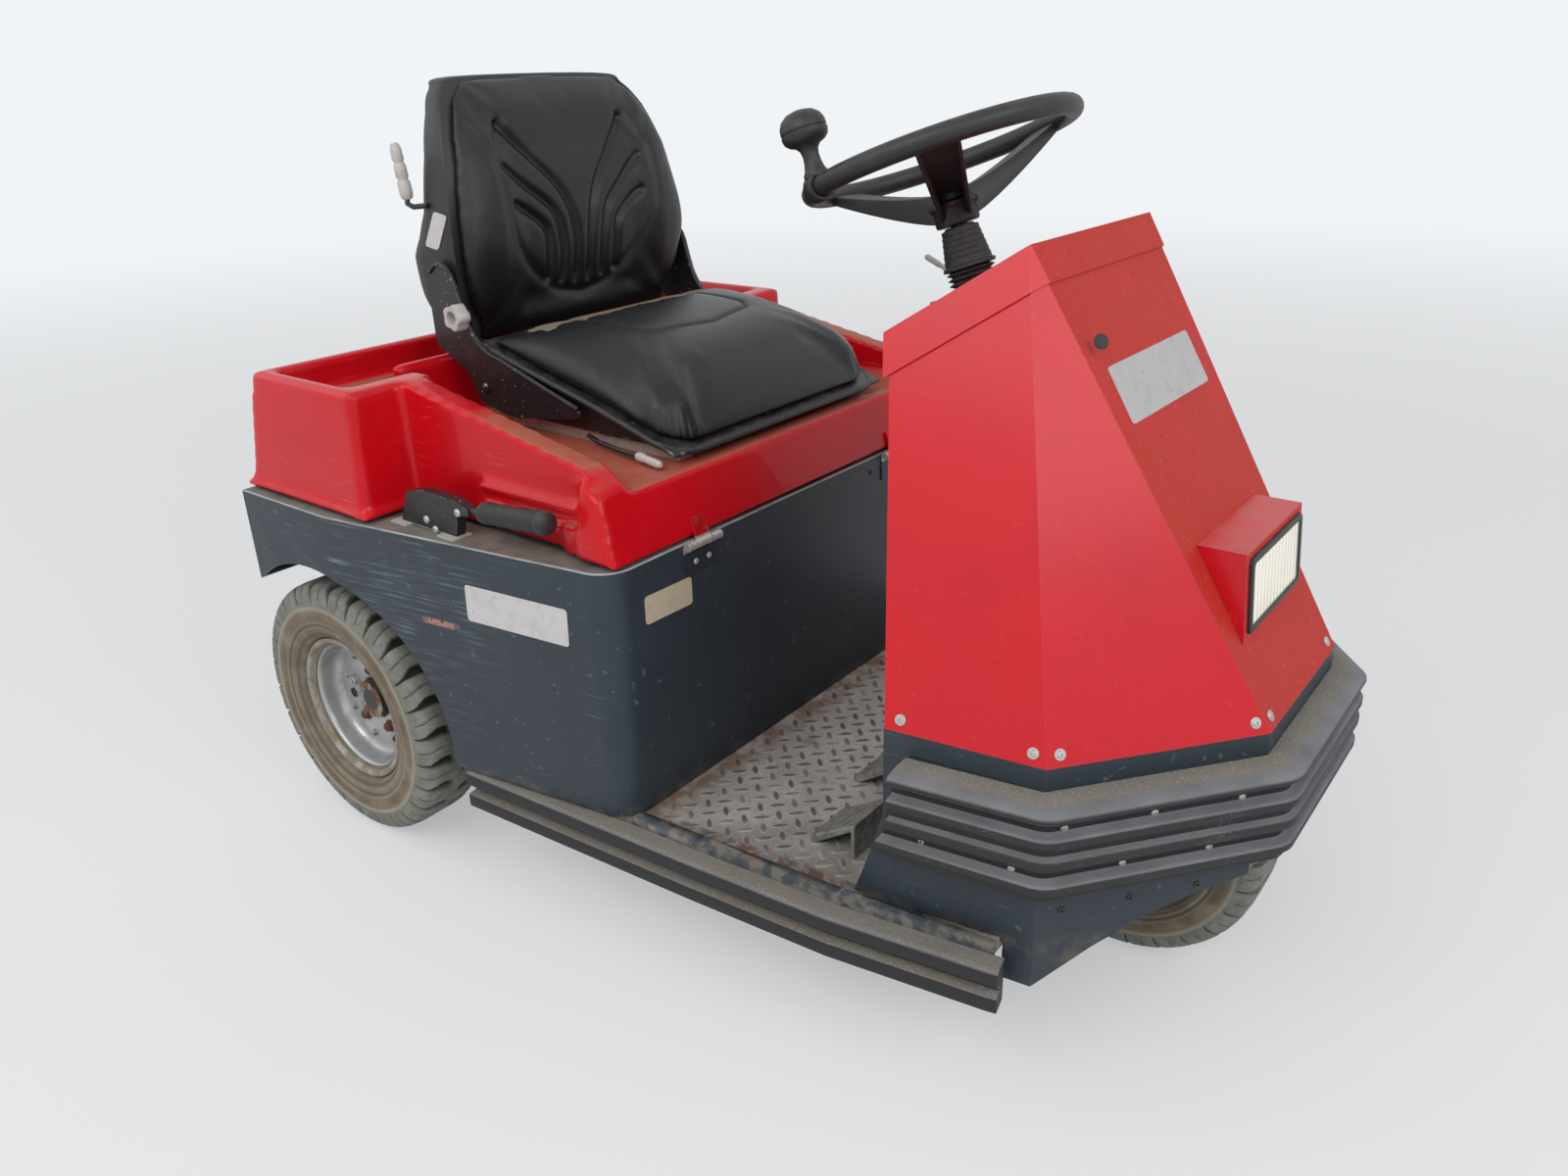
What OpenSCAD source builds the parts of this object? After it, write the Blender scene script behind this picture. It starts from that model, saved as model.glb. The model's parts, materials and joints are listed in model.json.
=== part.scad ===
// Three-wheeled battery tug for baggage trains, seat on a tilting lid.
// Sizes in mm. +X forward, +Y driver's left, +Z up, origin on the floor
// under the middle of the vehicle.

/* [Overall] */
// Distance from the rear axle to the steered wheel's axis
wheelbase = 1074; // [1060:2:1090]
// Distance between the centre planes of the rear tyres
track = 862; // [830:2:900]
// From the rear axle back to the end of the coupling
rear_over = 235; // [225:5:260]
// From the steered wheel's axis forward to the face of the front bumper
nose_over = 231; // [225:1:240]

/* [Wheels] */
// Outer diameter of the rear tyres
tyre_d = 415; // [400:1:420]
// Outer diameter of the steered tyre
front_d = 375; // [364:1:380]
// Width of a tyre over its sidewalls
tyre_w = 110; // [96:1:116]
// Diameter over the rim's flanges
rim_d = 235; // [220:1:250]
// Width over the rim's flanges
rim_w = 84; // [70:1:90]
// Radius of the hub nose that stands in the rim's centre hole
hub_r = 31; // [26:1:36]
// How far the rim's disc stands in from the outer flange
dish = 46; // [36:1:56]

/* [Body box] */
// From the rear axle to the box's front wall
box_front = 553; // [530:1:575]
// Half the width of the box at its front wall
box_half_f = 425; // [410:1:440]
// Half the width of the box over the rear wheels
box_half_r = 492; // [488:1:500]
// From the rear axle back to the box's rear wall
box_tail = 152; // [140:1:165]
// Height of the box's top edge above the ground
box_top = 545; // [530:1:560]
// Thickness of the box's sheet walls
wall = 5; // [4:0.5:8]
// Radius of the wheel arches
arch_r = 245; // [235:1:255]
// Radius of the box's upright front corners
corner_r = 45; // [30:1:60]

/* [Floor] */
// Height of the top of the floor plate
floor_z = 190; // [175:1:200]
// Thickness of the floor plate
floor_t = 5; // [4:0.5:8]
// Height of the side bumper strips
sill_h = 60; // [50:1:70]
// Thickness of the side bumper strips
sill_t = 28; // [22:1:34]
// Height of the rolled lip along the floor's edges
lip_h = 10; // [6:1:16]

/* [Nose] */
// Height of the joint between the grey base and the red cowl
cowl_z = 430; // [415:1:445]
// From the steered wheel's axis back to the cowl's lower rear edge
cowl_rear = 160; // [150:1:172]
// Half the width of the cowl's lower rear edge
cowl_half = 361; // [350:1:372]
// Half the width of the cowl's front panel at its lower edge
front_half = 128; // [118:1:138]
// Thickness of the cowl's sheet
cowl_t = 2.5; // [2:0.5:4]
// Depth of the lip around the cowl's cap
lip = 54; // [44:1:60]
// How far the front bumper stands out
bumper_t = 42; // [34:1:48]
// Height of the front bumper over its two ribbed strips
bumper_h = 118; // [104:1:126]

/* [Lid and seat] */
// Height of the tray's rim above the box's top edge
tray_h = 180; // [165:1:190]
// Half the width of the lid's middle part
lid_half = 385; // [375:1:392]
// Wall thickness of the moulded lid
lid_t = 6; // [5:0.5:8]
// Width of the seat
seat_w = 480; // [450:5:500]
// Depth of the seat cushion
seat_d = 375; // [355:5:395]
// Height of the shelf that the seat stands on, above the box's top edge
shelf_h = 83; // [75:1:90]
// Depth of the tray behind the seat
tray_deep = 45; // [30:1:55]
// Height of the backrest
back_h = 370; // [350:5:390]

/* [Steering] */
// Outer diameter of the steering wheel
wheel_d = 350; // [330:5:370]
// Thickness of the steering wheel's rim
wheel_rim = 26; // [22:1:30]
// Lean of the steering column from the upright
column_lean = 20; // [16:0.5:24]

/* [Hidden] */

$fn = 48;
cowl_front = wheelbase + nose_over - bumper_t;
cowl_back = wheelbase - cowl_rear;
rx = (rear_over - wheelbase - nose_over) / 2;
fx = rx + wheelbase;
wheel_r = tyre_d / 2;
front_r = front_d / 2;
half_track = track / 2;
// Gap between pieces that are seated on each other
gap = 0.3;
// Running clearance of a shaft in its bore, on the radius
fit = 0.05;
// Longer than the whole vehicle, for cuts that go right through
big = 1600;

C_RED = [0.78, 0.03, 0.06];
C_GREY = [0.13, 0.16, 0.18];
C_BLACK = [0.05, 0.05, 0.055];
C_STEEL = [0.55, 0.56, 0.57];

rails();
cross_members();
rear_axle();
drive_unit();
battery();
body_box();
floor_plate();
sill_right();
sill_left();
nose_base();
front_bumper();
wheel_box();
head_bridge();
nose_cowl();
nose_cap();
lamp_box();
lamp_lens();
steering_column();
column_boot();
stalk();
pedals();
hinge_leaves();
brake_bracket();
brake_lever();
coupling();
rear_lamps();
lid();
lid_leaves();
seat_slides();
seat_pan();
seat_cushion();
back_shell();
back_cushion();
seat_arms();
seat_knob();
seat_levers();
rim_right();
tyre_right();
rim_left();
tyre_left();
fork();
rim_front();
tyre_front();
steering_wheel();
spinner_knob();

// Shared helpers

// Local X measured from the rear axle.
module from_axle() { translate([rx, 0, 0]) children(); }

module both() {
  children();
  mirror([0, 1, 0]) children();
}

module block(a, b) { translate(a) cube(b - a); }

// Cylinder along Y from y0 to y1.
module across(r, y0, y1, x = 0, z = 0) {
  translate([x, y0, z]) rotate([-90, 0, 0]) cylinder(r = r, h = y1 - y0);
}

// Cylinder from point a to point b.
module bar(a, b, r) {
  d = b - a;
  translate(a) rotate([0, acos(d[2] / norm(d)), atan2(d[1], d[0])])
    cylinder(r = r, h = norm(d));
}

// Side view outline in X and Z, as thick as from y0 to y1.
module side_cut(y0, y1, points) {
  translate([0, y1, 0]) rotate([90, 0, 0]) linear_extrude(y1 - y0) polygon(points);
}

// Front view outline in Y and Z, as long as from x0 to x1.
module front_cut(x0, x1, points) {
  translate([x0, 0, 0]) rotate([90, 0, 90]) linear_extrude(x1 - x0) polygon(points);
}

// Everything outside a leaning panel through point p.
module beyond(p, yaw, lean, out = 0) {
  translate(p) rotate([0, -lean, yaw]) translate([out, -big, -big])
    cube([big, 2 * big, 2 * big]);
}

// Frame and drive

rail_y = 200;
rail_w = 50;
rail_h = 50;
rail_top = floor_z - floor_t;
rail_x0 = 50;
box_in = cowl_back - 46;
cross_w = 40;
tail_plate = [box_tail - wall - 10, box_tail - wall];
tail_half = 300;

module rails() {
  color(C_BLACK) from_axle()
    both() block([rail_x0, rail_y - rail_w / 2, rail_top - rail_h],
                 [box_in, rail_y + rail_w / 2, rail_top]);
}

module cross_members() {
  y = rail_y - rail_w / 2;
  color(C_BLACK) from_axle() {
    for (x = [box_front - cross_w, box_in - cross_w])
      block([x, -y, rail_top - rail_h], [x + cross_w, y, rail_top]);
    block([-tail_plate[1], -tail_half, rail_top - rail_h],
          [-tail_plate[0], tail_half, tail_low + 40]);
  }
}

axle_tube_r = 36;
disc_t = 8;
disc_y = half_track + rim_w / 2 - dish;
axle_in = disc_y - disc_t - 1;
axle_out = disc_y + 10;
drive_half = 90;

module rear_axle() {
  color(C_BLACK) from_axle() difference() {
    union() {
      across(axle_tube_r, -axle_in, axle_in, 0, wheel_r);
      both() across(hub_r - fit, axle_in - 1, axle_out, 0, wheel_r);
      both() block([-tail_plate[0], rail_y - rail_w / 2, rail_top - 35],
                   [rail_x0, rail_y + rail_w / 2, wheel_r + 30]);
    }
    block([-140, -drive_half, wheel_r - 100], [240, drive_half, wheel_r + 100]);
  }
}

// Gear case from and to x, its reach below and above the axle, then the motor
case_x = [-70, 80];
case_z = [62, 70];
motor_r = 60;
motor_len = 110;

module drive_unit() {
  color(C_STEEL) from_axle() {
    block([case_x[0], -drive_half, wheel_r - case_z[0]],
          [case_x[1], drive_half, wheel_r + case_z[1]]);
    translate([case_x[1] - 1, 0, wheel_r]) rotate([0, 90, 0])
      cylinder(r = motor_r, h = motor_len);
  }
}

bat_x = [250, 530];
bat_half = 320;
bat_h = 290;

module battery() {
  color(C_BLACK) from_axle()
    block([bat_x[0], -bat_half, floor_z], [bat_x[1], bat_half, floor_z + bat_h]);
}

// Body box over the rear wheels

// Where the box's sides start to run in, from the axle
box_bend = 60;
tail_low = wheel_r + sqrt(arch_r * arch_r - box_tail * box_tail) - 7;
deck_half = lid_half - 40;

module box_plan(inset) {
  xf = box_front - inset;
  yf = box_half_f - inset;
  yr = box_half_r - inset;
  xt = -box_tail + inset;
  r = corner_r - inset;
  polygon([[xf, -yf + r], [xf, yf - r], [xf - r, yf], [box_bend, yr], [xt, yr],
           [xt, -yr], [box_bend, -yr], [xf - r, -yf]]);
  translate([xf - r, yf - r]) circle(r = r);
  translate([xf - r, -yf + r]) circle(r = r);
}

module body_box() {
  z0 = floor_z;
  color(C_GREY) from_axle() difference() {
    translate([0, 0, z0]) linear_extrude(box_top - z0) box_plan(0);
    translate([0, 0, z0 - 1]) linear_extrude(box_top - z0 + 1 - wall)
      box_plan(wall);
    block([-box_tail + 40, -deck_half, box_top - wall - 1],
          [box_front - 40, deck_half, box_top + 1]);
    both() across(arch_r, box_half_f - 40, big, 0, wheel_r);
    block([-big, -big, 0], [-box_tail + wall + 30, big, tail_low]);
  }
}

// Floor from the wheel arches to the nose, with its edges turned down

sill_x = 0;
sill_y = 1;
// Outer line of the side bumper from rear to front: x from the axle, half width.
sill_line = [
  [262, box_half_r - 28],
  [663, box_half_f + 12],
  [cowl_back - 47, cowl_half + 59],
  [cowl_back + 148, cowl_half + 27],
  [cowl_back + 161, cowl_half + 24]
];
sill_n = len(sill_line);
sill_end = sill_line[sill_n - 1][sill_x];
hump = 170;
// Half width that the steered tyre needs beside it
sweep_half = 215;
toe_x = cowl_back - 41;

function sill_at(x) = lookup(x, sill_line) - sill_t;

// Strip along the sill's inner line from x0 to x1, from in to out of that line.
module edge_strip(x0, x1, in, out) {
  xs = concat([x0], [for (p = sill_line) if (p[sill_x] > x0 && p[sill_x] < x1) p[sill_x]],
              [x1]);
  n = len(xs);
  polygon(concat([for (i = [0:n - 1]) [xs[i], sill_at(xs[i]) + in]],
                 [for (i = [n - 1:-1:0]) [xs[i], sill_at(xs[i]) + out]]));
}

module floor_plate() {
  x0 = sill_line[0][sill_x];
  x1 = sill_line[sill_n - 2][sill_x];
  lip_w = 15;
  side_h = rail_top - 128;
  color(C_STEEL) from_axle() {
    translate([0, 0, rail_top]) linear_extrude(floor_t) difference() {
      polygon(concat(
        [for (i = [0:sill_n - 2]) [sill_line[i][sill_x], -sill_at(sill_line[i][sill_x])]],
        [for (i = [sill_n - 2:-1:0]) [sill_line[i][sill_x], sill_at(sill_line[i][sill_x])]]));
      translate([box_in, -hump]) square([big, 2 * hump]);
      translate([toe_x, -sweep_half]) square([big, 2 * sweep_half]);
    }
    both() {
      translate([0, 0, rail_top - side_h]) linear_extrude(side_h + 1)
        edge_strip(x0, x1, -floor_t, 0);
      translate([0, 0, rail_top + 1]) linear_extrude(floor_t - 1 + lip_h)
        edge_strip(box_front + 3, x1, -lip_w, 0);
    }
  }
}

// Profile of a bumper strip: from and to as shares of its height, set back.
sill_rows = [
  [0, 0.38, 0],
  [0.38, 0.60, 14],
  [0.60, 1, 0]
];
row_from = 0;
row_to = 1;
row_back = 2;

module sill() {
  top = rail_top + 1;
  color(C_BLACK) from_axle() for (r = sill_rows)
    translate([0, 0, top - sill_h * (1 - r[row_from])])
      linear_extrude(sill_h * (r[row_to] - r[row_from]))
      edge_strip(sill_line[0][sill_x], sill_end, gap, sill_t - r[row_back]);
}

module sill_left() { sill(); }
module sill_right() { mirror([0, 1, 0]) sill(); }

// Nose

// Where the base's sides fold inwards
fold_x = cowl_back + 184;
fold_half = cowl_half - 26;
// Front edge of the cap's top: x, height
cap_edge = [wheelbase - 117, 930];
cap_slope = 33.9;

side_yaw = atan((fold_x - cowl_back) / (cowl_half - fold_half));
angle_yaw = atan((cowl_front - fold_x) / (fold_half - front_half));
side_lean = 21.1;
angle_lean = 23.7;
front_lean = atan((cowl_front - cap_edge[0]) / (cap_edge[1] - cowl_z));
back_lean = -12.8;

base_t = 4;
base_z = 140;
// Lower edge of the base from its fold forward: x from the fold, height
apron_line = [[0, 140], [45, 181], [87, 212], [120, 228], [165, 243], [200, 243]];

// Half width of the base's side at x
function base_side(x) = lookup(x, [[cowl_back, cowl_half], [fold_x, fold_half]]);

module nose_plan(out) {
  k = out * 0.42;
  polygon([[cowl_back, -cowl_half - out], [fold_x + k, -fold_half - out],
           [cowl_front + out, -front_half - k], [cowl_front + out, front_half + k],
           [fold_x + k, fold_half + out], [cowl_back, cowl_half + out]]);
}

// Height at which the base's rear edge turns back towards the driver
knee_z = 310;

module nose_base() {
  color(C_GREY) from_axle() {
    difference() {
      translate([0, 0, base_z]) linear_extrude(cowl_z - base_z) nose_plan(0);
      translate([0, 0, base_z - 1]) linear_extrude(cowl_z - base_z + 2)
        nose_plan(-base_t);
      block([-big, -cowl_half + base_t, 0], [cowl_back + 20, cowl_half - base_t, big]);
      block([0, -big, 0], [sill_end - 12, big, floor_z]);
      translate([fold_x, 0, 0]) side_cut(-big, big, concat([[0, 0]], apron_line, [[200, 0]]));
    }
    both() side_cut(cowl_half - base_t, cowl_half,
                    [[toe_x, floor_z], [cowl_back + 1, floor_z], [cowl_back + 1, knee_z]]);
  }
}

// Rows of the front bumper: from and to as shares of its height, set back.
bumper_rows = [
  [0, 0.10, 8],
  [0.10, 0.22, 0],
  [0.22, 0.36, 20],
  [0.36, 0.50, 0],
  [0.50, 0.60, 8],
  [0.60, 0.72, 0],
  [0.72, 0.86, 20],
  [0.86, 1, 0]
];
bumper_top = cowl_z - 27;

module front_bumper() {
  z0 = bumper_top - bumper_h;
  color(C_BLACK) from_axle() difference() {
    for (r = bumper_rows) translate([0, 0, z0 + bumper_h * r[row_from]])
      linear_extrude(bumper_h * (r[row_to] - r[row_from])) difference() {
        nose_plan(bumper_t - r[row_back]);
        nose_plan(gap);
      }
    side_cut(-big, big, [[cowl_back - 1, z0 - 1], [cowl_back + 5, z0 - 1],
                         [cowl_back + 29, z0 + bumper_h / 2],
                         [cowl_back + 29, bumper_top + 1], [cowl_back - 1, bumper_top + 1]]);
  }
}

panel_t = 4;

module wheel_box() {
  z0 = rail_top - 40;
  side_y = cowl_half - base_t - gap;
  color(C_GREY) from_axle() {
    block([box_in, -hump, z0], [box_in + panel_t, hump, cowl_z]);
    both() block([box_in + panel_t - 1, hump - panel_t, z0], [cowl_back - panel_t, hump, cowl_z]);
    both() side_cut(hump - 1, side_y,
      [[toe_x, floor_z], [toe_x + panel_t, floor_z], [cowl_back, knee_z],
       [cowl_back, cowl_z], [cowl_back - panel_t, cowl_z], [cowl_back - panel_t, knee_z]]);
  }
}

crown_z = front_d + 8;
crown_t = 12;
bridge_z = crown_z + crown_t + 5;
bridge_t = 10;
stem_r = 25;
head_r = 38;
head_h = 110;

module head_bridge() {
  rear = -60;
  front = 15;
  seat_y = base_side(wheelbase + front) - base_t * 1.05 - gap;
  web = seat_y - 16;
  color(C_BLACK) translate([fx, 0, 0]) difference() {
    union() {
      block([rear, -web, bridge_z], [front, web, bridge_z + bridge_t]);
      both() block([rear, web - 8, bridge_z - 60], [front, web, bridge_z + bridge_t]);
      both() block([rear, web - 1, bridge_z - 60], [front, seat_y, cowl_z - 4]);
      translate([0, 0, bridge_z]) cylinder(r = head_r, h = head_h);
    }
    translate([0, 0, bridge_z - 1]) cylinder(r = stem_r + fit, h = head_h + 2);
  }
}

// The cowl's space: seven leaning panels, moved outwards by out and up by rise.
module nose_space(out, rise, back = 0, low = 0) {
  difference() {
    block([cowl_back - 300, -big, cowl_z - low], [cowl_front + 100, big, cap_edge[1] + 170]);
    both() beyond([cowl_back, -cowl_half, cowl_z], -side_yaw, side_lean, out);
    both() beyond([cowl_front, -front_half, cowl_z], -angle_yaw, angle_lean, out);
    beyond([cowl_front, 0, cowl_z], 0, front_lean, out);
    beyond([cowl_back, 0, cowl_z], 180, back_lean, back);
    beyond([cap_edge[0], 0, cap_edge[1]], 180, 90 - cap_slope, rise);
  }
}

cap_t = 3;

module nose_cowl() {
  color(C_RED) from_axle() difference() {
    nose_space(0, -cap_t);
    nose_space(-cowl_t, 30, -cowl_t, 10);
    on_hub(300) cylinder(r = column_r + gap, h = 300, center = true);
  }
}

module nose_cap() {
  color(C_RED) from_axle() difference() {
    nose_space(cap_t, 0, cap_t * 2);
    nose_space(gap, gap - cap_t, cap_t, 10);
    beyond([cap_edge[0], 0, cap_edge[1] - lip], 0, cap_slope - 90, 0);
    on_hub(185) cylinder(r = column_r + 4, h = 200, center = true);
  }
}

// Head lamp on the sloping front panel

lamp_half = 100;
lamp_top = 617;
lamp_low = 512;
lamp_x = cap_edge[0] + 247;
lamp_rake = 10;
lamp_edge = 12;
lens_deep = 4;

function front_x(z) = cowl_front - (z - cowl_z) * tan(front_lean);

// X of the lamp's face at height z.
function lamp_face(z) = lamp_x + (lamp_top - z) * lamp_rake / (lamp_top - lamp_low);

// Slab behind the lamp's face: deep back, ahead forward, in by edge all round.
module lamp_slab(deep, ahead, edge) {
  z0 = lamp_low + edge;
  z1 = lamp_top - edge;
  side_cut(edge - lamp_half, lamp_half - edge,
    [[lamp_face(z0) - deep, z0], [lamp_face(z0) + ahead, z0],
     [lamp_face(z1) + ahead, z1], [lamp_face(z1) - deep, z1]]);
}

module lamp_box() {
  color(C_RED) from_axle() difference() {
    side_cut(-lamp_half, lamp_half,
      [[front_x(lamp_top) + gap, lamp_top], [lamp_face(lamp_top), lamp_top],
       [lamp_face(lamp_low), lamp_low], [front_x(lamp_low) + gap, lamp_low]]);
    lamp_slab(lens_deep, 30, lamp_edge);
  }
}

module lamp_lens() {
  color("white") from_axle() lamp_slab(lens_deep - gap, 2, lamp_edge + gap);
}

// Steering

hub_at = [wheelbase - 322, 0, 1006];
column_r = 19;
shaft_r = 10;
hub_low = 86;
sleeve_low = 135;
bellows_low = 166;
console_low = 214;
column_low = 420;

// Along the column's axis from the wheel's centre, d down, measured from the axle.
module on_hub(d) {
  translate(hub_at) rotate([0, -column_lean, 0]) translate([0, 0, -d]) children();
}

module on_column(d = 0) { from_axle() on_hub(d) children(); }

module steering_column() {
  color(C_BLACK) {
    on_column(column_low) cylinder(r = column_r, h = column_low - hub_low - 2);
    on_column(hub_low + 4) cylinder(r = shaft_r, h = 34);
    difference() {
      on_column(console_low) translate([-42, -46, 0]) cube([80, 92, console_low - bellows_low]);
      from_axle() nose_space(cap_t + gap, gap, cap_t * 2 + gap);
    }
  }
}

module column_boot() {
  color(C_BLACK) on_column(bellows_low - gap) difference() {
    union() {
      for (i = [0:3]) translate([0, 0, i * 6.5]) {
        cylinder(r1 = 25, r2 = 30, h = 3.5);
        translate([0, 0, 3.4]) cylinder(r1 = 30, r2 = 25, h = 3.5);
      }
      translate([0, 0, 26]) cylinder(r = 33, h = 5);
      translate([0, 0, 30]) cylinder(r1 = 30, r2 = 23, h = sleeve_low - hub_low - 4);
    }
    cylinder(r = column_r + gap, h = 300, center = true);
  }
}

module stalk() {
  color("white") on_column(0) {
    translate([-34, 38, gap - bellows_low]) cylinder(r = 6, h = 10);
    bar([-34, 38, 5 - bellows_low], [-134, 120, -101], 4);
  }
}

spoke_n = 3;

module steering_wheel() {
  r = wheel_d / 2 - wheel_rim / 2;
  color(C_BLACK) on_column(0) difference() {
    union() {
      rotate_extrude() translate([r, 0]) circle(r = wheel_rim / 2, $fn = 24);
      translate([0, 0, -hub_low]) cylinder(r1 = 27, r2 = 31, h = 50);
      for (i = [0:spoke_n - 1]) rotate([0, 0, 180 + i * 360 / spoke_n]) hull() {
        translate([16, -20, 6 - hub_low]) cube([8, 40, 40]);
        translate([r - 8, -26, -9]) cube([8, 52, 12]);
      }
    }
    translate([0, 0, -hub_low - 1]) cylinder(r = shaft_r + fit, h = 37);
  }
}

knob_turn = 238;
// Outline of the knob above the rim: radius, height.
knob_line = [
  [0, 0], [14, 0], [12, 8], [9.5, 18], [10, 30], [13, 36], [23, 40], [28, 47],
  [28, 56], [25, 65], [15, 73], [0, 76]
];

module spinner_knob() {
  r = wheel_d / 2 - wheel_rim / 2;
  clamp_r = wheel_rim / 2 + 4;
  color(C_BLACK) on_column(0) rotate([0, 0, knob_turn]) translate([r, 0, 0]) difference() {
    union() {
      across(clamp_r, -11, 11);
      translate([0, 0, clamp_r - 4]) rotate_extrude() polygon(knob_line);
    }
    across(wheel_rim / 2 + 0.8, -20, 20);
  }
}

// Pedals: x of the rear edge, y of the right edge, width.
pedal_x = 0;
pedal_y = 1;
pedal_w = 2;
pedal_at = [
  [toe_x - 135, -165, 80],
  [toe_x - 103, -312, 75]
];

module pedals() {
  color(C_STEEL) from_axle() for (p = pedal_at)
    side_cut(p[pedal_y], p[pedal_y] + p[pedal_w],
      [for (q = [[0, 0], [9, 0], [64, 38], [64, 0], [70, 0], [70, 51], [0, 8]])
       [p[pedal_x] + q[0], floor_z + q[1]]]);
}

// Lid hinges: pin across the vehicle in front of the lid's lower edge.

hinge_x = box_front + 7;
hinge_z = box_top - 4;
hinge_ys = [-252, 215];
hinge_w = 66;
hinge_r = 6;
pin_r = 3;
leaf_t = 2;

module hinge_leaves() {
  color(C_STEEL) from_axle() for (y = hinge_ys) {
    for (s = [-1, 1]) across(hinge_r, y + s * hinge_w * 0.36 - hinge_w * 0.14,
                             y + s * hinge_w * 0.36 + hinge_w * 0.14, hinge_x, hinge_z);
    across(pin_r, y - hinge_w / 2, y + hinge_w / 2, hinge_x, hinge_z);
    for (s = [-1, 1])
      block([box_front, y + s * hinge_w * 0.36 - hinge_w * 0.14, hinge_z - 40],
            [box_front + leaf_t, y + s * hinge_w * 0.36 + hinge_w * 0.14, hinge_z]);
    block([box_front, y - hinge_w / 2, hinge_z - 40],
          [box_front + leaf_t, y + hinge_w / 2, hinge_z - 12]);
  }
}

module lid_leaves() {
  w = hinge_w * 0.2;
  x = lid_front_x(lid_z0 + 10) + gap;
  color(C_STEEL) from_axle() for (y = hinge_ys) difference() {
    union() {
      across(hinge_r, y - w, y + w, hinge_x, hinge_z);
      side_cut(y - w, y + w,
        [[hinge_x - 2, hinge_z + 3], [hinge_x + 2, hinge_z + 3],
         [lid_front_x(lid_z0 + 24) + 2 * leaf_t, lid_z0 + 24],
         [lid_front_x(lid_z0 + 24) + gap, lid_z0 + 24], [x, lid_z0 + 10]]);
    }
    across(pin_r + fit, y - hinge_w, y + hinge_w, hinge_x, hinge_z);
  }
}

// Parking brake on the right-hand deck

brake_y = -lid_half - 47;

module brake_bracket() {
  color(C_BLACK) from_axle() {
    for (x = [160, 262])
      block([x, brake_y - 18, box_top], [x + 34, brake_y + 14, box_top + 3]);
    side_cut(brake_y - 8, brake_y + 8,
      [[172, box_top + 2], [192, box_top + 48], [230, box_top + 57],
       [298, box_top + 54], [322, box_top + 46], [322, box_top + 38],
       [298, box_top + 34], [290, box_top + 2]]);
  }
}

module brake_lever() {
  color(C_BLACK) from_axle() {
    bar([322 + gap, brake_y, box_top + 43], [346, brake_y, box_top + 46], 5);
    bar([345, brake_y, box_top + 46], [472, brake_y, box_top + 57], 16);
  }
}

// Rear coupling

coup_z = 300;
coup_w = 120;
coup_gap = 50;
coup_t = 14;
tow_r = 12.5;

module coupling() {
  x0 = -rear_over;
  x1 = -tail_plate[1];
  color(C_BLACK) from_axle() difference() {
    union() {
      block([x1 - 12, -coup_w / 2 - 20, coup_z - 70], [x1, coup_w / 2 + 20, coup_z + 70]);
      for (z = [coup_z - coup_gap / 2 - coup_t, coup_z + coup_gap / 2])
        block([x0, -coup_w / 2, z], [x1 - 11, coup_w / 2, z + coup_t]);
    }
    translate([x0 + 35, 0, coup_z - 100]) cylinder(r = tow_r, h = 200);
  }
}

// Tail lamps: depth, width, height
tail_lamp = [24, 100, 50];

module rear_lamps() {
  y = box_half_r - 62;
  z = box_top - 55;
  color([0.6, 0.02, 0.02]) from_axle() both()
    block([-box_tail - tail_lamp[0], y - tail_lamp[1], z - tail_lamp[2]], [-box_tail, y, z]);
}

// Moulded lid, tray behind and seat shelf in front

lid_z0 = box_top + 4;
tray_z = box_top + tray_h;
shelf_z = box_top + shelf_h;
tray_half = 470;
tray_front = 138;
tray_back = box_tail - 45;
lid_tail = box_tail - 2;
rim_w_side = 30;
side_rim = 40;
well_half = lid_half - side_rim;
well_back = 55;
block_x = 487;
rim_low_z = 661;
flange_h = 8;
flange_w = 9;
rib_out = 12;

// X of the lid's leaning front face at height z.
function lid_front_x(z) = box_front - (z - lid_z0) * 29 / (shelf_z + 8 - lid_z0);

// The lid's outer mass, moved in by t; its inside reaches below the edge.
module lid_mass(t) {
  z0 = lid_z0 - (t > 0 ? 1 : 0);
  zt = tray_z - t;
  intersection() {
    side_cut(-big, big, [[t - lid_tail, z0], [t - tray_back, zt],
                         [tray_front - t, zt], [tray_front - t, z0]]);
    front_cut(-big, big, [[t - tray_half - 4, z0], [t - tray_half + 4, zt],
                          [tray_half - 4 - t, zt], [tray_half + 4 - t, z0]]);
  }
  side_cut(t - lid_half, lid_half - t,
    [[tray_front - 30, z0], [tray_front - 30, zt], [tray_front, zt],
     [block_x, rim_low_z - t], [lid_front_x(shelf_z + 8) - t, shelf_z + 8 - t],
     [box_front - t, z0]]);
}

// The tray's recess and the seat's well, grown by t.
module lid_hollows(t) {
  top = tray_z + 100;
  block([-tray_back + 24 - t, -tray_half + rim_w_side - t, tray_z - tray_deep - t],
        [well_back - 20 + t, tray_half - rim_w_side + t, top]);
  both() block([well_back - 22, well_half - 15 - t, tray_z - tray_deep - t],
               [tray_front - 43 + t, tray_half - rim_w_side + t, top]);
  block([well_back - t, -well_half + 15 - t, shelf_z - t],
        [tray_front + 1, well_half - 15 + t, top]);
  block([tray_front - t, -well_half - t, shelf_z - t], [big, well_half + t, top]);
}

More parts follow.
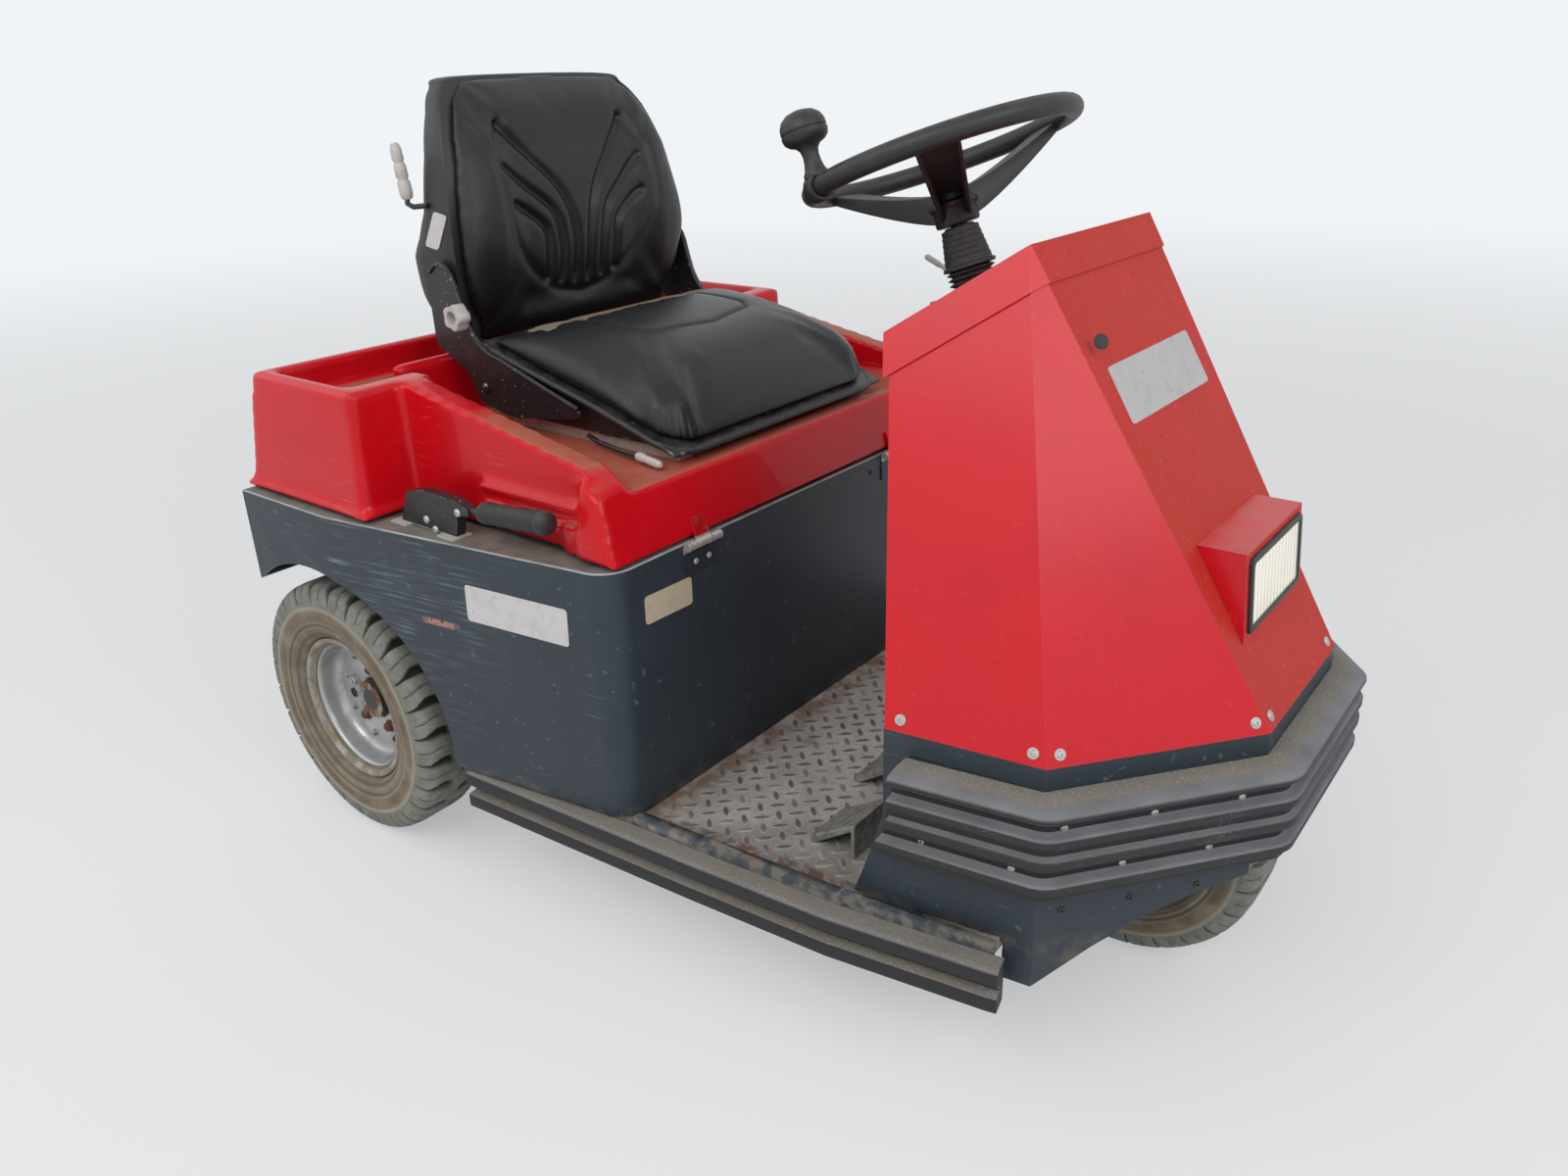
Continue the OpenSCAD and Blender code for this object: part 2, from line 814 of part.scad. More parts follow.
// Blocks at the lid's front corners, and the ribs along its sides.
module lid_sides() {
  intersection() {
    front_cut(block_x, big, [[lid_half - 1, lid_z0], [lid_half + 27, lid_z0],
                             [lid_half + 14, shelf_z + 20], [lid_half - 1, shelf_z + 20]]);
    side_cut(0, big, [[block_x, lid_z0], [block_x, shelf_z + 20],
                      [lid_front_x(shelf_z + 8), shelf_z + 8], [box_front, lid_z0]]);
  }
  for (z = [lid_z0 + 22, lid_z0 + 52])
    block([290, lid_half - 1, z], [block_x + 1, lid_half + rib_out, z + 12]);
  block([455, lid_half - 1, lid_z0], [480, lid_half + rib_out + 6, lid_z0 + 40]);
}

module lid_flange() {
  w = flange_w;
  translate([0, 0, lid_z0]) linear_extrude(flange_h)
    polygon([[-lid_tail - w + 3, 0], [-lid_tail - w + 3, tray_half + 4 + w],
             [tray_front + w, tray_half + 4 + w], [tray_front + w, lid_half + w],
             [block_x, lid_half + w], [block_x, lid_half - lid_t - 2], [0, lid_half - lid_t - 2],
             [0, 0]]);
}

module lid() {
  color(C_RED) from_axle() difference() {
    union() {
      lid_mass(0);
      both() lid_sides();
      both() lid_flange();
    }
    lid_hollows(0);
    difference() {
      lid_mass(lid_t);
      lid_hollows(lid_t);
    }
  }
}

// Seat

seat_front = 510;
seat_rear = seat_front - seat_d;
slide_h = 18;
pan_z = shelf_z + slide_h + gap;

// Rising edge of the seat pan: share of the depth from the front, rise.
pan_s = 0;
pan_up = 1;
pan_line = [[0, 4], [0.17, 26], [0.42, 54], [0.72, 83], [1, 113]];

function pan_edge(up) = [for (p = pan_line) [seat_front - seat_d * p[pan_s],
                                             shelf_z + 14 + p[pan_up] + up]];

function turned(list) = [for (i = [len(list) - 1:-1:0]) list[i]];

slide_y = seat_w / 2 - 40;
slide_w = 30;

module seat_slides() {
  color(C_STEEL) from_axle() both()
    block([seat_rear + 20, slide_y - slide_w / 2, shelf_z],
          [seat_front - 20, slide_y + slide_w / 2, shelf_z + slide_h]);
}

module seat_pan() {
  half = seat_w / 2;
  color(C_BLACK) from_axle() {
    side_cut(15 - half, half - 15,
      concat([[seat_rear + 8, pan_z], [seat_rear + 8, shelf_z + 118]],
             [for (p = turned(pan_edge(-4))) if (p[0] > seat_rear + 9 && p[0] < seat_front - 9) p],
             [[seat_front - 8, shelf_z + 16], [seat_front - 8, pan_z]]));
    side_cut(-half - 3, half + 3, concat(pan_edge(0), turned(pan_edge(-6))));
  }
}

module seat_cushion() {
  z = shelf_z;
  color(C_BLACK) from_axle() side_cut(-seat_w / 2, seat_w / 2, concat(pan_edge(gap),
    [[seat_rear, z + 142], [seat_front - 300, z + 146], [seat_front - 190, z + 136],
     [seat_front - 80, z + 112], [seat_front - 22, z + 84], [seat_front, z + 50]]));
}

// Backrest from the bottom up: height share, front, seam, rear, how far the
// cushion and the shell run in from the seat's half width.
back_z = box_top + 191;
b_s = 0;
b_front = 1;
b_seam = 2;
b_rear = 3;
b_cush = 4;
b_shell = 5;
back_line = [
  [0.00, 96, 76, 2, 75, 62],
  [0.08, 106, 80, -6, 42, 30],
  [0.18, 118, 86, -8, 20, 10],
  [0.34, 130, 98, -6, 9, 1],
  [0.42, 130, 98, 12, 9, 1],
  [0.52, 126, 94, 30, 12, 3],
  [0.72, 112, 84, 32, 26, 16],
  [0.87, 92, 64, 22, 46, 36],
  [0.96, 70, 44, 6, 74, 60],
  [1.00, 50, 34, -2, 120, 102]
];

function back_points(c, dx = 0) =
  [for (p = back_line) [p[c] + dx, back_z + p[b_s] * back_h]];

module back_slab(front, rear, inset, dx = 0) {
  half = [for (p = back_points(inset)) [seat_w / 2 - p[0], p[1]]];
  intersection() {
    side_cut(-big, big, concat(back_points(front), turned(back_points(rear, dx))));
    front_cut(-big, big, concat(half, turned([for (p = half) [-p[0], p[1]]])));
  }
}

module back_cushion() {
  color(C_BLACK) from_axle() back_slab(b_front, b_seam, b_cush, gap);
}

module back_shell() {
  color(C_BLACK) from_axle() back_slab(b_seam, b_rear, b_shell);
}

arm_y = seat_w / 2 + 3 + gap;
arm_t = 5;
// Bolt boss between each arm and the shell: radius, x and height
pivot_r = 12;
pivot_at = [70, back_z + 0.3 * back_h];

module seat_arms() {
  z = box_top;
  color(C_BLACK) from_axle() both() side_cut(arm_y, arm_y + arm_t,
    [[200, z + 105], [seat_front - 170, z + 125], [seat_front - 170, z + 138],
     [235, z + 172], [150, z + 200], [122, z + 228], [108, z + 268], [96, z + 308],
     [74, z + 316], [52, z + 304], [40, z + 274], [42, z + 192], [66, z + 184],
     [112, z + 158], [124, z + 120]]);
  color(C_BLACK) from_axle() both()
    across(pivot_r, shell_half(pivot_at[1] + pivot_r) + gap, arm_y + 1, pivot_at[0], pivot_at[1]);
}

knob_x = 122;
knob_z = box_top + 246;

module seat_knob() {
  y = -arm_y - arm_t - gap;
  color("white") from_axle() translate([knob_x, 0, knob_z]) {
    across(20, y - 26, y - 5);
    across(9, y - 6, y);
  }
}

// Half width of the shell at height z
function shell_half(z) =
  seat_w / 2 - lookup((z - back_z) / back_h, [for (p = back_line) [p[b_s], p[b_shell]]]);

// The backrest's grip and the seat slide's lever
module seat_levers() {
  grip_z = back_z + 0.56 * back_h;
  grip_y = -shell_half(grip_z) - 4 - gap;
  low_z = shelf_z + 9;
  color("white") from_axle() {
    bar([19, grip_y, grip_z + 8], [17, grip_y, grip_z + 72], 9);
    bar([19, grip_y, grip_z + 10], [46, grip_y, grip_z], 4);
    bar([seat_front - 172, -slide_y - slide_w / 2 - 4 - gap, low_z],
        [seat_front - 60, -seat_w / 2 - 10, low_z], 4);
    bar([seat_front - 62, -seat_w / 2 - 9.5, low_z],
        [seat_front - 10, -seat_w / 2 - 18, low_z], 5.5);
  }
}

// Wheels

// Half sections of a tyre, each point a radius and a half width: its sides up to the lugs,
// then a lug and the gap between two lugs, from their foot to the tread.
t_r = 0;
t_w = 1;
side_line = [[103, 34], [118.5, 36.5], [124, 45], [140, 53], [160, 55]];
lug_line = [[180, 54], [201, 46.5], [207.5, 36]];
gap_line = [[180, 54], [197, 48.5], [198.5, 36]];

// The section below this radius is the same for every tyre, as it sits on the rim.
bead_r = 118.5;
lug_n = 26;
lug_share = 0.74;
lug_slope = 0.08;

// Where a pitch changes, as a share of it, and the section that starts or ends there
lug_steps = [[0, lug_line], [lug_share - lug_slope, lug_line],
             [lug_share, gap_line], [1 - lug_slope, gap_line]];

// Tyre of outer radius r0, one closed ring whose lugs run over both shoulders.
module tyre(r0) {
  pitch = 360 / lug_n;
  flat = 1 / cos(pitch / 2);
  top = lug_line[2][t_r];
  function across_tyre(line) = concat([for (p = line) [p[t_r], -p[t_w]]], turned(line));
  function spot(p, a, grow = 1) = let (
      r = p[t_r] > bead_r ? bead_r + (p[t_r] - bead_r) * (r0 - bead_r) / (top - bead_r) : p[t_r])
    [r * grow * cos(a), r * grow * sin(a), p[t_w] * tyre_w / 110];
  // Corners of one pitch: its sides once, then the tread at each of the four steps
  sides = concat(turned(side_line), [for (p = side_line) [p[t_r], -p[t_w]]]);
  low = len(sides);
  wide = 2 * len(lug_line);
  each_pitch = low + 4 * wide;
  corners = [for (i = [0:lug_n - 1])
    each concat([for (p = sides) spot(p, i * pitch, flat)],
                [for (q = lug_steps) each [for (p = across_tyre(q[1])) spot(p, (i + q[0]) * pitch)]])];
  function at_side(i, j) = (i % lug_n) * each_pitch + j;
  function at_tread(k, j) = (floor(k / 4) % lug_n) * each_pitch + low + (k % 4) * wide + j;
  // Three-cornered faces between a side's edge from a to b and the tread's edge e
  function joining(a, b, e) =
    [[a, e[0], e[1]], [a, e[1], e[2]], [a, e[2], b], [b, e[2], e[3]], [b, e[3], e[4]]];
  faces = [for (i = [0:lug_n - 1]) each concat(
    [for (j = [0:low - 2])
      [at_side(i, j), at_side(i, j + 1), at_side(i + 1, j + 1), at_side(i + 1, j)]],
    [for (k = [4 * i:4 * i + 3]) each [for (j = [0:wide - 2])
      [at_tread(k, j), at_tread(k, j + 1), at_tread(k + 1, j + 1), at_tread(k + 1, j)]]],
    joining(at_side(i, low - 1), at_side(i + 1, low - 1),
            [for (k = [4 * i:4 * i + 4]) at_tread(k, 0)]),
    [for (f = joining(at_side(i, 0), at_side(i + 1, 0),
                      [for (k = [4 * i:4 * i + 4]) at_tread(k, wide - 1)]))
      [f[0], f[2], f[1]]])];
  rotate([90, 0, 0]) rotate(90) polyhedron(corners, faces);
}

flange_t = 5;
seat_r = 102.5;

// Half section of a rim from its centre bore out, its disc at y.
module rim_section(bore, y) {
  y0 = rim_w / 2;
  translate([seat_r - 5, -y0]) square([5, rim_w]);
  for (s = [y0 - flange_t, -y0])
    translate([seat_r - 1, s]) square([rim_d / 2 - seat_r + 1, flange_t]);
  translate([bore, y]) square([seat_r - bore - 1, disc_t]);
}

// Rim with its dished side towards -Y.
module rim() {
  rotate([90, 0, 0]) rotate_extrude($fn = 72) rim_section(hub_r, rim_w / 2 - dish);
}

module rim_right() {
  color(C_STEEL) translate([rx, -half_track, wheel_r]) rim();
}

module tyre_right() {
  color(C_BLACK) translate([rx, -half_track, wheel_r]) tyre(wheel_r);
}

module rim_left() {
  color(C_STEEL) translate([rx, half_track, wheel_r]) mirror([0, 1, 0]) rim();
}

module tyre_left() {
  color(C_BLACK) translate([rx, half_track, wheel_r]) tyre(wheel_r);
}

module tyre_front() { color(C_BLACK) translate([fx, 0, front_r]) tyre(front_r); }

fork_in = tyre_w / 2 + 8;
fork_t = 10;
axle_r = 12;

module fork() {
  color(C_BLACK) translate([fx, 0, 0]) {
    both() block([-35, fork_in, front_r - 30], [35, fork_in + fork_t, crown_z + crown_t]);
    block([-50, -fork_in - fork_t, crown_z], [50, fork_in + fork_t, crown_z + crown_t]);
    translate([0, 0, crown_z]) cylinder(r = stem_r, h = head_h + crown_t);
    across(axle_r, -fork_in - 1, fork_in + 1, 0, front_r);
  }
}

module rim_front() {
  hub_w = 40;
  color(C_STEEL) translate([fx, 0, front_r]) rotate([90, 0, 0]) rotate_extrude($fn = 72) {
    rim_section(axle_r + fit, -disc_t / 2);
    translate([axle_r + fit, -hub_w]) square([22, 2 * hub_w]);
  }
}
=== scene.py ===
"""Looks of a three-wheeled battery baggage tug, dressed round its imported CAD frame."""

import json
import math

import bmesh
import bpy
from mathutils import Matrix, Vector

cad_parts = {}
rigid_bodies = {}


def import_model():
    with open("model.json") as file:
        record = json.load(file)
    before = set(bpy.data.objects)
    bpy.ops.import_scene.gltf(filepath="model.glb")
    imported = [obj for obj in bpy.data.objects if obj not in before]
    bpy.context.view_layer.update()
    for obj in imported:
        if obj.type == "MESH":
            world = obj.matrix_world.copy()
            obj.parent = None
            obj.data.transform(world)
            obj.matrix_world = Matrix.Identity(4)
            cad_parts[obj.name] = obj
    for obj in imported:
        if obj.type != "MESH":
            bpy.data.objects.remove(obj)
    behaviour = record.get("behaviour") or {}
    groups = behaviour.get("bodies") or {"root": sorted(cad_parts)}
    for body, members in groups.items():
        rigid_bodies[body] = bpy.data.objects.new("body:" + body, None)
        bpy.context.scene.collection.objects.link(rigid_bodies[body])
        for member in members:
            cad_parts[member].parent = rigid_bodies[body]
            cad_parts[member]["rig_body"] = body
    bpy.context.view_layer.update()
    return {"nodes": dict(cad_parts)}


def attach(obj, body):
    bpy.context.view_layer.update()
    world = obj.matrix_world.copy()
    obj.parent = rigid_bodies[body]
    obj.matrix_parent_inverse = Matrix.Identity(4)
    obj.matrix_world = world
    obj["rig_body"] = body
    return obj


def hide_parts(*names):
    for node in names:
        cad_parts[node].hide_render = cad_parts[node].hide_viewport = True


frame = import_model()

scene = bpy.context.scene
MM = 0.001
# The rear axle's place along the vehicle, in metres
REAR_AXLE = -0.535
# Sizes of the vehicle in millimetres, heights from the ground
WHEELBASE = 1074
HALF_TRACK = 431
REAR_RADIUS = 207.5
FRONT_RADIUS = 187.5
FLOOR_TOP = 190
COWL_FOOT = 430
LID_FOOT = 549
STEERING_RADIUS = 162
VOXEL = 5.5
LID_SMOOTHING = 9


def at(x, y, z):
    """A point given in millimetres from the floor under the rear axle's middle."""
    return Vector((x * MM + REAR_AXLE, y * MM, z * MM))


def from_table(table, value, column=1):
    """Straight-line reading of a column at a value of the table's first column."""
    for low, high in zip(table, table[1:]):
        if value <= high[0]:
            share = max(0, (value - low[0]) / (high[0] - low[0]))
            return low[column] + share * (high[column] - low[column])
    return table[-1][column]


def ease(value, low, high):
    """0 below low, 1 above high, smooth between them."""
    t = min(max((value - low) / (high - low), 0), 1)
    return t * t * (3 - 2 * t)


# Camera and light


def set_camera():
    """The photograph's camera, from its focal length and where upright lines meet."""
    width, focal = 1600, 1203
    down = Vector((71.8, -2720.6, -focal)).normalized()
    up = -down
    right = Vector((1, 0, 0))
    right = (right - right.dot(up) * up).normalized()
    ahead = up.cross(right)
    turn = math.radians(-37.5)
    along = math.cos(turn) * right + math.sin(turn) * ahead
    data = bpy.data.cameras.new("Camera")
    data.sensor_fit = "HORIZONTAL"
    data.sensor_width = 36
    data.lens = focal / width * data.sensor_width
    camera = bpy.data.objects.new("Camera", data)
    turned_by = Matrix((along, up.cross(along), up)).to_4x4()
    camera.matrix_world = Matrix.Translation(at(1531, -1322, 1107)) @ turned_by
    scene.collection.objects.link(camera)
    scene.camera = camera


def add_lamp(name, place, aim, size, power, colour):
    """A rectangular lamp that faces a point, with its size in metres and its power in watts."""
    data = bpy.data.lights.new(name, "AREA")
    data.shape = "RECTANGLE"
    data.size, data.size_y = size
    data.energy = power
    data.color = colour
    lamp = bpy.data.objects.new(name, data)
    lamp.location = place
    lamp.rotation_euler = (Vector(aim) - Vector(place)).to_track_quat("-Z", "Y").to_euler()
    scene.collection.objects.link(lamp)


def add_node(tree, kind, settings=None, values=None):
    """Adds any node: its settings first, then the values or links of its sockets."""
    node = tree.nodes.new(kind)
    for name, value in (settings or {}).items():
        setattr(node, name, value)
    for socket, value in (values or {}).items():
        if isinstance(value, bpy.types.NodeSocket):
            tree.links.new(value, node.inputs[socket])
        else:
            node.inputs[socket].default_value = value
    return node


PALE = (0.88, 0.90, 0.92, 1)


def seen_plainly(tree):
    """1 for rays that show the background: to the camera, by reflection or through glass."""
    path = add_node(tree, "ShaderNodeLightPath")
    seen = path.outputs["Is Camera Ray"]
    for ray in ("Is Glossy Ray", "Is Transmission Ray"):
        most = add_node(
            tree, "ShaderNodeMath", {"operation": "MAXIMUM"}, {0: seen, 1: path.outputs[ray]}
        )
        seen = most.outputs[0]
    return seen


def add_floor():
    """A plain pale floor that keeps the shadow and fades into the background."""
    mesh = bpy.data.meshes.new("Floor")
    reach = 40
    corners = [(-reach, -reach, 0), (reach, -reach, 0), (reach, reach, 0), (-reach, reach, 0)]
    mesh.from_pydata(corners, [], [(0, 1, 2, 3)])
    floor = bpy.data.objects.new("Floor", mesh)
    scene.collection.objects.link(floor)
    material = bpy.data.materials.new("Floor")
    material.use_nodes = True
    shader = material.node_tree.nodes["Principled BSDF"]
    shader.inputs["Base Color"].default_value = (0.80, 0.80, 0.79, 1)
    shader.inputs["Roughness"].default_value = 0.9
    tree = material.node_tree
    place = add_node(tree, "ShaderNodeTexCoord").outputs["Object"]
    away = add_node(tree, "ShaderNodeVectorMath", {"operation": "LENGTH"}, {0: place})
    far = add_node(
        tree,
        "ShaderNodeMapRange",
        {"interpolation_type": "SMOOTHSTEP"},
        {"Value": away.outputs["Value"], "From Min": 1.2, "From Max": 9, "To Min": 0.45},
    )
    share = add_node(
        tree, "ShaderNodeMath", {"operation": "MULTIPLY"}, {0: seen_plainly(tree), 1: far.outputs[0]}
    )
    plain = add_node(tree, "ShaderNodeEmission", None, {"Color": PALE})
    mix = add_node(
        tree,
        "ShaderNodeMixShader",
        None,
        {0: share.outputs[0], 1: shader.outputs[0], 2: plain.outputs[0]},
    )
    tree.links.new(mix.outputs[0], tree.nodes["Material Output"].inputs["Surface"])
    mesh.materials.append(material)


def light_world():
    """Soft light from all round, with a white background for what sees it."""
    world = bpy.data.worlds.new("Studio")
    scene.world = world
    world.use_nodes = True
    tree = world.node_tree
    tree.nodes.clear()
    soft = add_node(
        tree, "ShaderNodeBackground", None, {"Color": (0.95, 0.97, 1, 1), "Strength": 0.5}
    )
    white = add_node(tree, "ShaderNodeBackground", None, {"Color": PALE})
    mix = add_node(
        tree,
        "ShaderNodeMixShader",
        None,
        {0: seen_plainly(tree), 1: soft.outputs[0], 2: white.outputs[0]},
    )
    add_node(tree, "ShaderNodeOutputWorld", None, {"Surface": mix.outputs[0]})


# Shader building


class Value:
    """A number that varies over a surface. Arithmetic on it adds Math nodes."""

    def __init__(self, finish, socket):
        self.finish = finish
        self.socket = socket

    def _math(self, operation, first, second):
        node = self.finish.node(
            "ShaderNodeMath", {"operation": operation}, {0: first, 1: second}
        )
        return Value(self.finish, node.outputs[0])

    def __add__(self, other):
        return self._math("ADD", self, other)

    def __radd__(self, other):
        return self._math("ADD", other, self)

    def __sub__(self, other):
        return self._math("SUBTRACT", self, other)

    def __rsub__(self, other):
        return self._math("SUBTRACT", other, self)

    def __mul__(self, other):
        return self._math("MULTIPLY", self, other)

    def __rmul__(self, other):
        return self._math("MULTIPLY", other, self)

    def __or__(self, other):
        """The larger of two masks."""
        return self._math("MAXIMUM", self, other)


class Finish:
    """One material, its Principled shader and the record's slot that it belongs to."""

    def __init__(self, name, slot, colour, roughness=0.5, **sockets):
        self.slot = slot
        self.material = bpy.data.materials.new(name)
        self.material.use_nodes = True
        self.tree = self.material.node_tree
        self.shader = self.tree.nodes["Principled BSDF"]
        self.colour = (*colour, 1)
        self.rough = roughness
        self.height = None
        for socket, value in sockets.items():
            name = socket.replace("_", " ").title().replace("Ior", "IOR")
            self.shader.inputs[name].default_value = value
        coordinates = self.tree.nodes.new("ShaderNodeTexCoord")
        self.place = coordinates.outputs["Object"]
        self.facing = coordinates.outputs["Normal"]

    def node(self, kind, settings=None, values=None):
        plain = {s: v.socket if isinstance(v, Value) else v for s, v in (values or {}).items()}
        return add_node(self.tree, kind, settings, plain)

    def feed(self, socket, value):
        """Links or sets one of the shader's sockets."""
        if isinstance(value, Value):
            value = value.socket
        if isinstance(value, bpy.types.NodeSocket):
            self.tree.links.new(value, self.shader.inputs[socket])
        else:
            self.shader.inputs[socket].default_value = value

    def mapped(self, scale=(1, 1, 1), turn=(0, 0, 0), shift=(0, 0, 0)):
        """The object's own coordinates, stretched, turned and shifted."""
        node = self.node(
            "ShaderNodeMapping",
            None,
            {"Vector": self.place, "Scale": scale, "Rotation": turn, "Location": shift},
        )
        return node.outputs["Vector"]

    def noise(self, size, detail=4, scale=(1, 1, 1), turn=(0, 0, 0), seed=0):
        """Cloudy noise from 0 to 1 with features of about size millimetres."""
        node = self.node(
            "ShaderNodeTexNoise",
            None,
            {
                "Vector": self.mapped(scale, turn, (seed * 3.7, seed * 1.3, seed * 2.1)),
                "Scale": 1000 / size,
                "Detail": detail,
            },
        )
        return Value(self, node.outputs["Fac"])

    def cloud(self, size, low, high, detail=5, seed=0):
        """Noise as a mask: 0 where it is under low, 1 where it is over high."""
        return self.step(self.noise(size, detail, seed=seed), low, high)

    def cells(self, size):
        """Distance to the nearest of many scattered points, about 0 to 1."""
        node = self.node(
            "ShaderNodeTexVoronoi",
            {"feature": "F1"},
            {"Vector": self.mapped(), "Scale": 1000 / size},
        )
        return Value(self, node.outputs["Distance"])

    def step(self, value, low, high):
        """0 below low, 1 above high, smooth between them."""
        node = self.node(
            "ShaderNodeMapRange",
            {"interpolation_type": "SMOOTHSTEP"},
            {"Value": value, "From Min": low, "From Max": high},
        )
        return Value(self, node.outputs["Result"])

    def axis(self, which, vector=None):
        """One coordinate of the place on the object, or of another vector."""
        node = self.node("ShaderNodeSeparateXYZ", None, {0: vector or self.place})
        return Value(self, node.outputs[which])

    def distance(self, point):
        """How far the surface is from a point, in metres."""
        node = self.node(
            "ShaderNodeVectorMath", {"operation": "DISTANCE"}, {0: self.place, 1: point}
        )
        return Value(self, node.outputs["Value"])

    def between(self, value, low, high, soft):
        """1 where value lies between low and high, with soft ends."""
        inside = self.step(value, low - soft, low + soft)
        return inside * (1 - self.step(value, high - soft, high + soft))

    def up(self, low=0.25, high=0.95):
        """1 where the surface faces up, 0 where it is upright or faces down. low and
        high are the upright parts of its direction where the change lies."""
        return self.step(self.axis("Z", self.facing), low, high)

    def kept(self, name):
        """A number that the mesh keeps for each point."""
        node = self.node("ShaderNodeAttribute", {"attribute_name": name})
        return Value(self, node.outputs["Fac"])

    def worn(self):
        """1 along the rounded edges that softened() has marked: edge wear, and on the red folds and
        the box's top edge also painted highlight.
        """
        return self.kept("edge")

    def scratches(self, thin, long, turn=(0, 0, 0), seed=0, share=0.62, along="X"):
        """Fine streaks: thin and long in millimetres, along the named axes."""
        scale = tuple(thin / long if name in along else 1 for name in "XYZ")
        lines = self.noise(thin, 2, scale, turn, seed)
        broken = self.step(self.noise(long * 0.8, 3, (1, 1, 1), turn, seed + 1), 0.45, 0.7)
        return self.step(lines, share, share + 0.05) * broken

    def paint(self, mask, colour, rough=None):
        """Lays another colour, and its roughness, over the finish where mask is 1."""
        node = self.node(
            "ShaderNodeMix",
            {"data_type": "RGBA"},
            {0: mask, 6: self.colour, 7: (*colour, 1)},
        )
        self.colour = node.outputs[2]
        if rough is not None:
            self.rough = self.rough * (1 - mask) + mask * rough

    def relief(self, height):
        """Adds to the surface's height, in millimetres."""
        self.height = height if self.height is None else self.height + height

    def done(self):
        """Links what has been laid on to the shader."""
        self.feed("Base Color", self.colour)
        self.feed("Roughness", self.rough)
        if self.height is not None:
            bump = self.node("ShaderNodeBump", None, {"Height": self.height, "Distance": MM})
            self.feed("Normal", bump.outputs["Normal"])
        return self


# Finishes

DUST = (0.30, 0.225, 0.15)
RUST = (0.17, 0.055, 0.02)


def red_paint():
    """Gloss red sheet paint with road dust, dustier and more orange on the front."""
    f = Finish("Red paint", "red_paint", (0.62, 0.003, 0.012), 0.42, coat_roughness=0.2,
               specular_ior_level=0.25)
    f.paint(f.cloud(180, 0.4, 0.8, 3) * 0.45, (0.47, 0.003, 0.012), 0.42)
    ahead = f.step(f.axis("X", f.facing), 0.75, 0.84)
    f.paint(ahead * (0.6 + f.cloud(60, 0.3, 0.7, seed=7) * 0.35), (0.50, 0.035, 0.02), 0.65)
    f.feed("Coat Weight", 0.4 - ahead * 0.35)
    f.paint(f.cloud(7, 0.62, 0.72, seed=2) * (0.12 + ahead * 0.4), (0.5, 0.16, 0.08), 0.6)
    f.paint(f.up(0.7, 0.95) * f.cloud(30, 0.3, 0.8, seed=3) * 0.3, DUST, 0.8)
    f.paint(f.scratches(0.7, 90, (0.3, 0, 0.2), 4, 0.7, "Z") * 0.5, (0.75, 0.38, 0.34), 0.6)
    # Paler red along the rounded folds: edge wear, and a painted highlight that makes the folds show
    f.paint(f.worn() * (0.35 + f.cloud(8, 0.5, 0.65, seed=5) * 0.4), (0.72, 0.16, 0.16), 0.5)
    f.relief(f.noise(3, 2, seed=6) * 0.07)
    return f.done()


def red_moulding():
    """Gloss red moulding, scratched, with dust lying on its tray and shelf."""
    f = Finish("Red moulding", "grp_red", (0.62, 0.003, 0.010), 0.3, coat_weight=0.18,
               specular_ior_level=0.22)
    f.paint(f.cloud(120, 0.4, 0.8, 3) * 0.3, (0.42, 0.003, 0.008), 0.32)
    # The tray's floor and the shelf lie under this height, the tray's rim over it
    rim_height = 0.690
    floors = 1 - f.step(f.axis("Z"), rim_height, rim_height + 0.013)
    ahead = f.step(f.axis("X"), REAR_AXLE + 0.10, REAR_AXLE + 0.30)
    f.paint(f.up(0.8, 0.97) * floors * (0.3 + f.cloud(35, 0.3, 0.65, seed=3) * 0.45), DUST, 0.85)
    f.paint(f.up(0.8, 0.97) * floors * ahead * 0.6, (0.42, 0.09, 0.045), 0.7)
    f.paint(f.scratches(0.8, 80, (0, 0, 0.3), 4, 0.66) * 0.55, (0.7, 0.4, 0.36), 0.6)
    f.paint(f.scratches(0.9, 60, (0.5, 0.4, 1.2), 8, 0.68) * 0.5, (0.68, 0.36, 0.33), 0.6)
    f.relief(f.noise(28, 2, seed=6) * 0.25)
    return f.done()


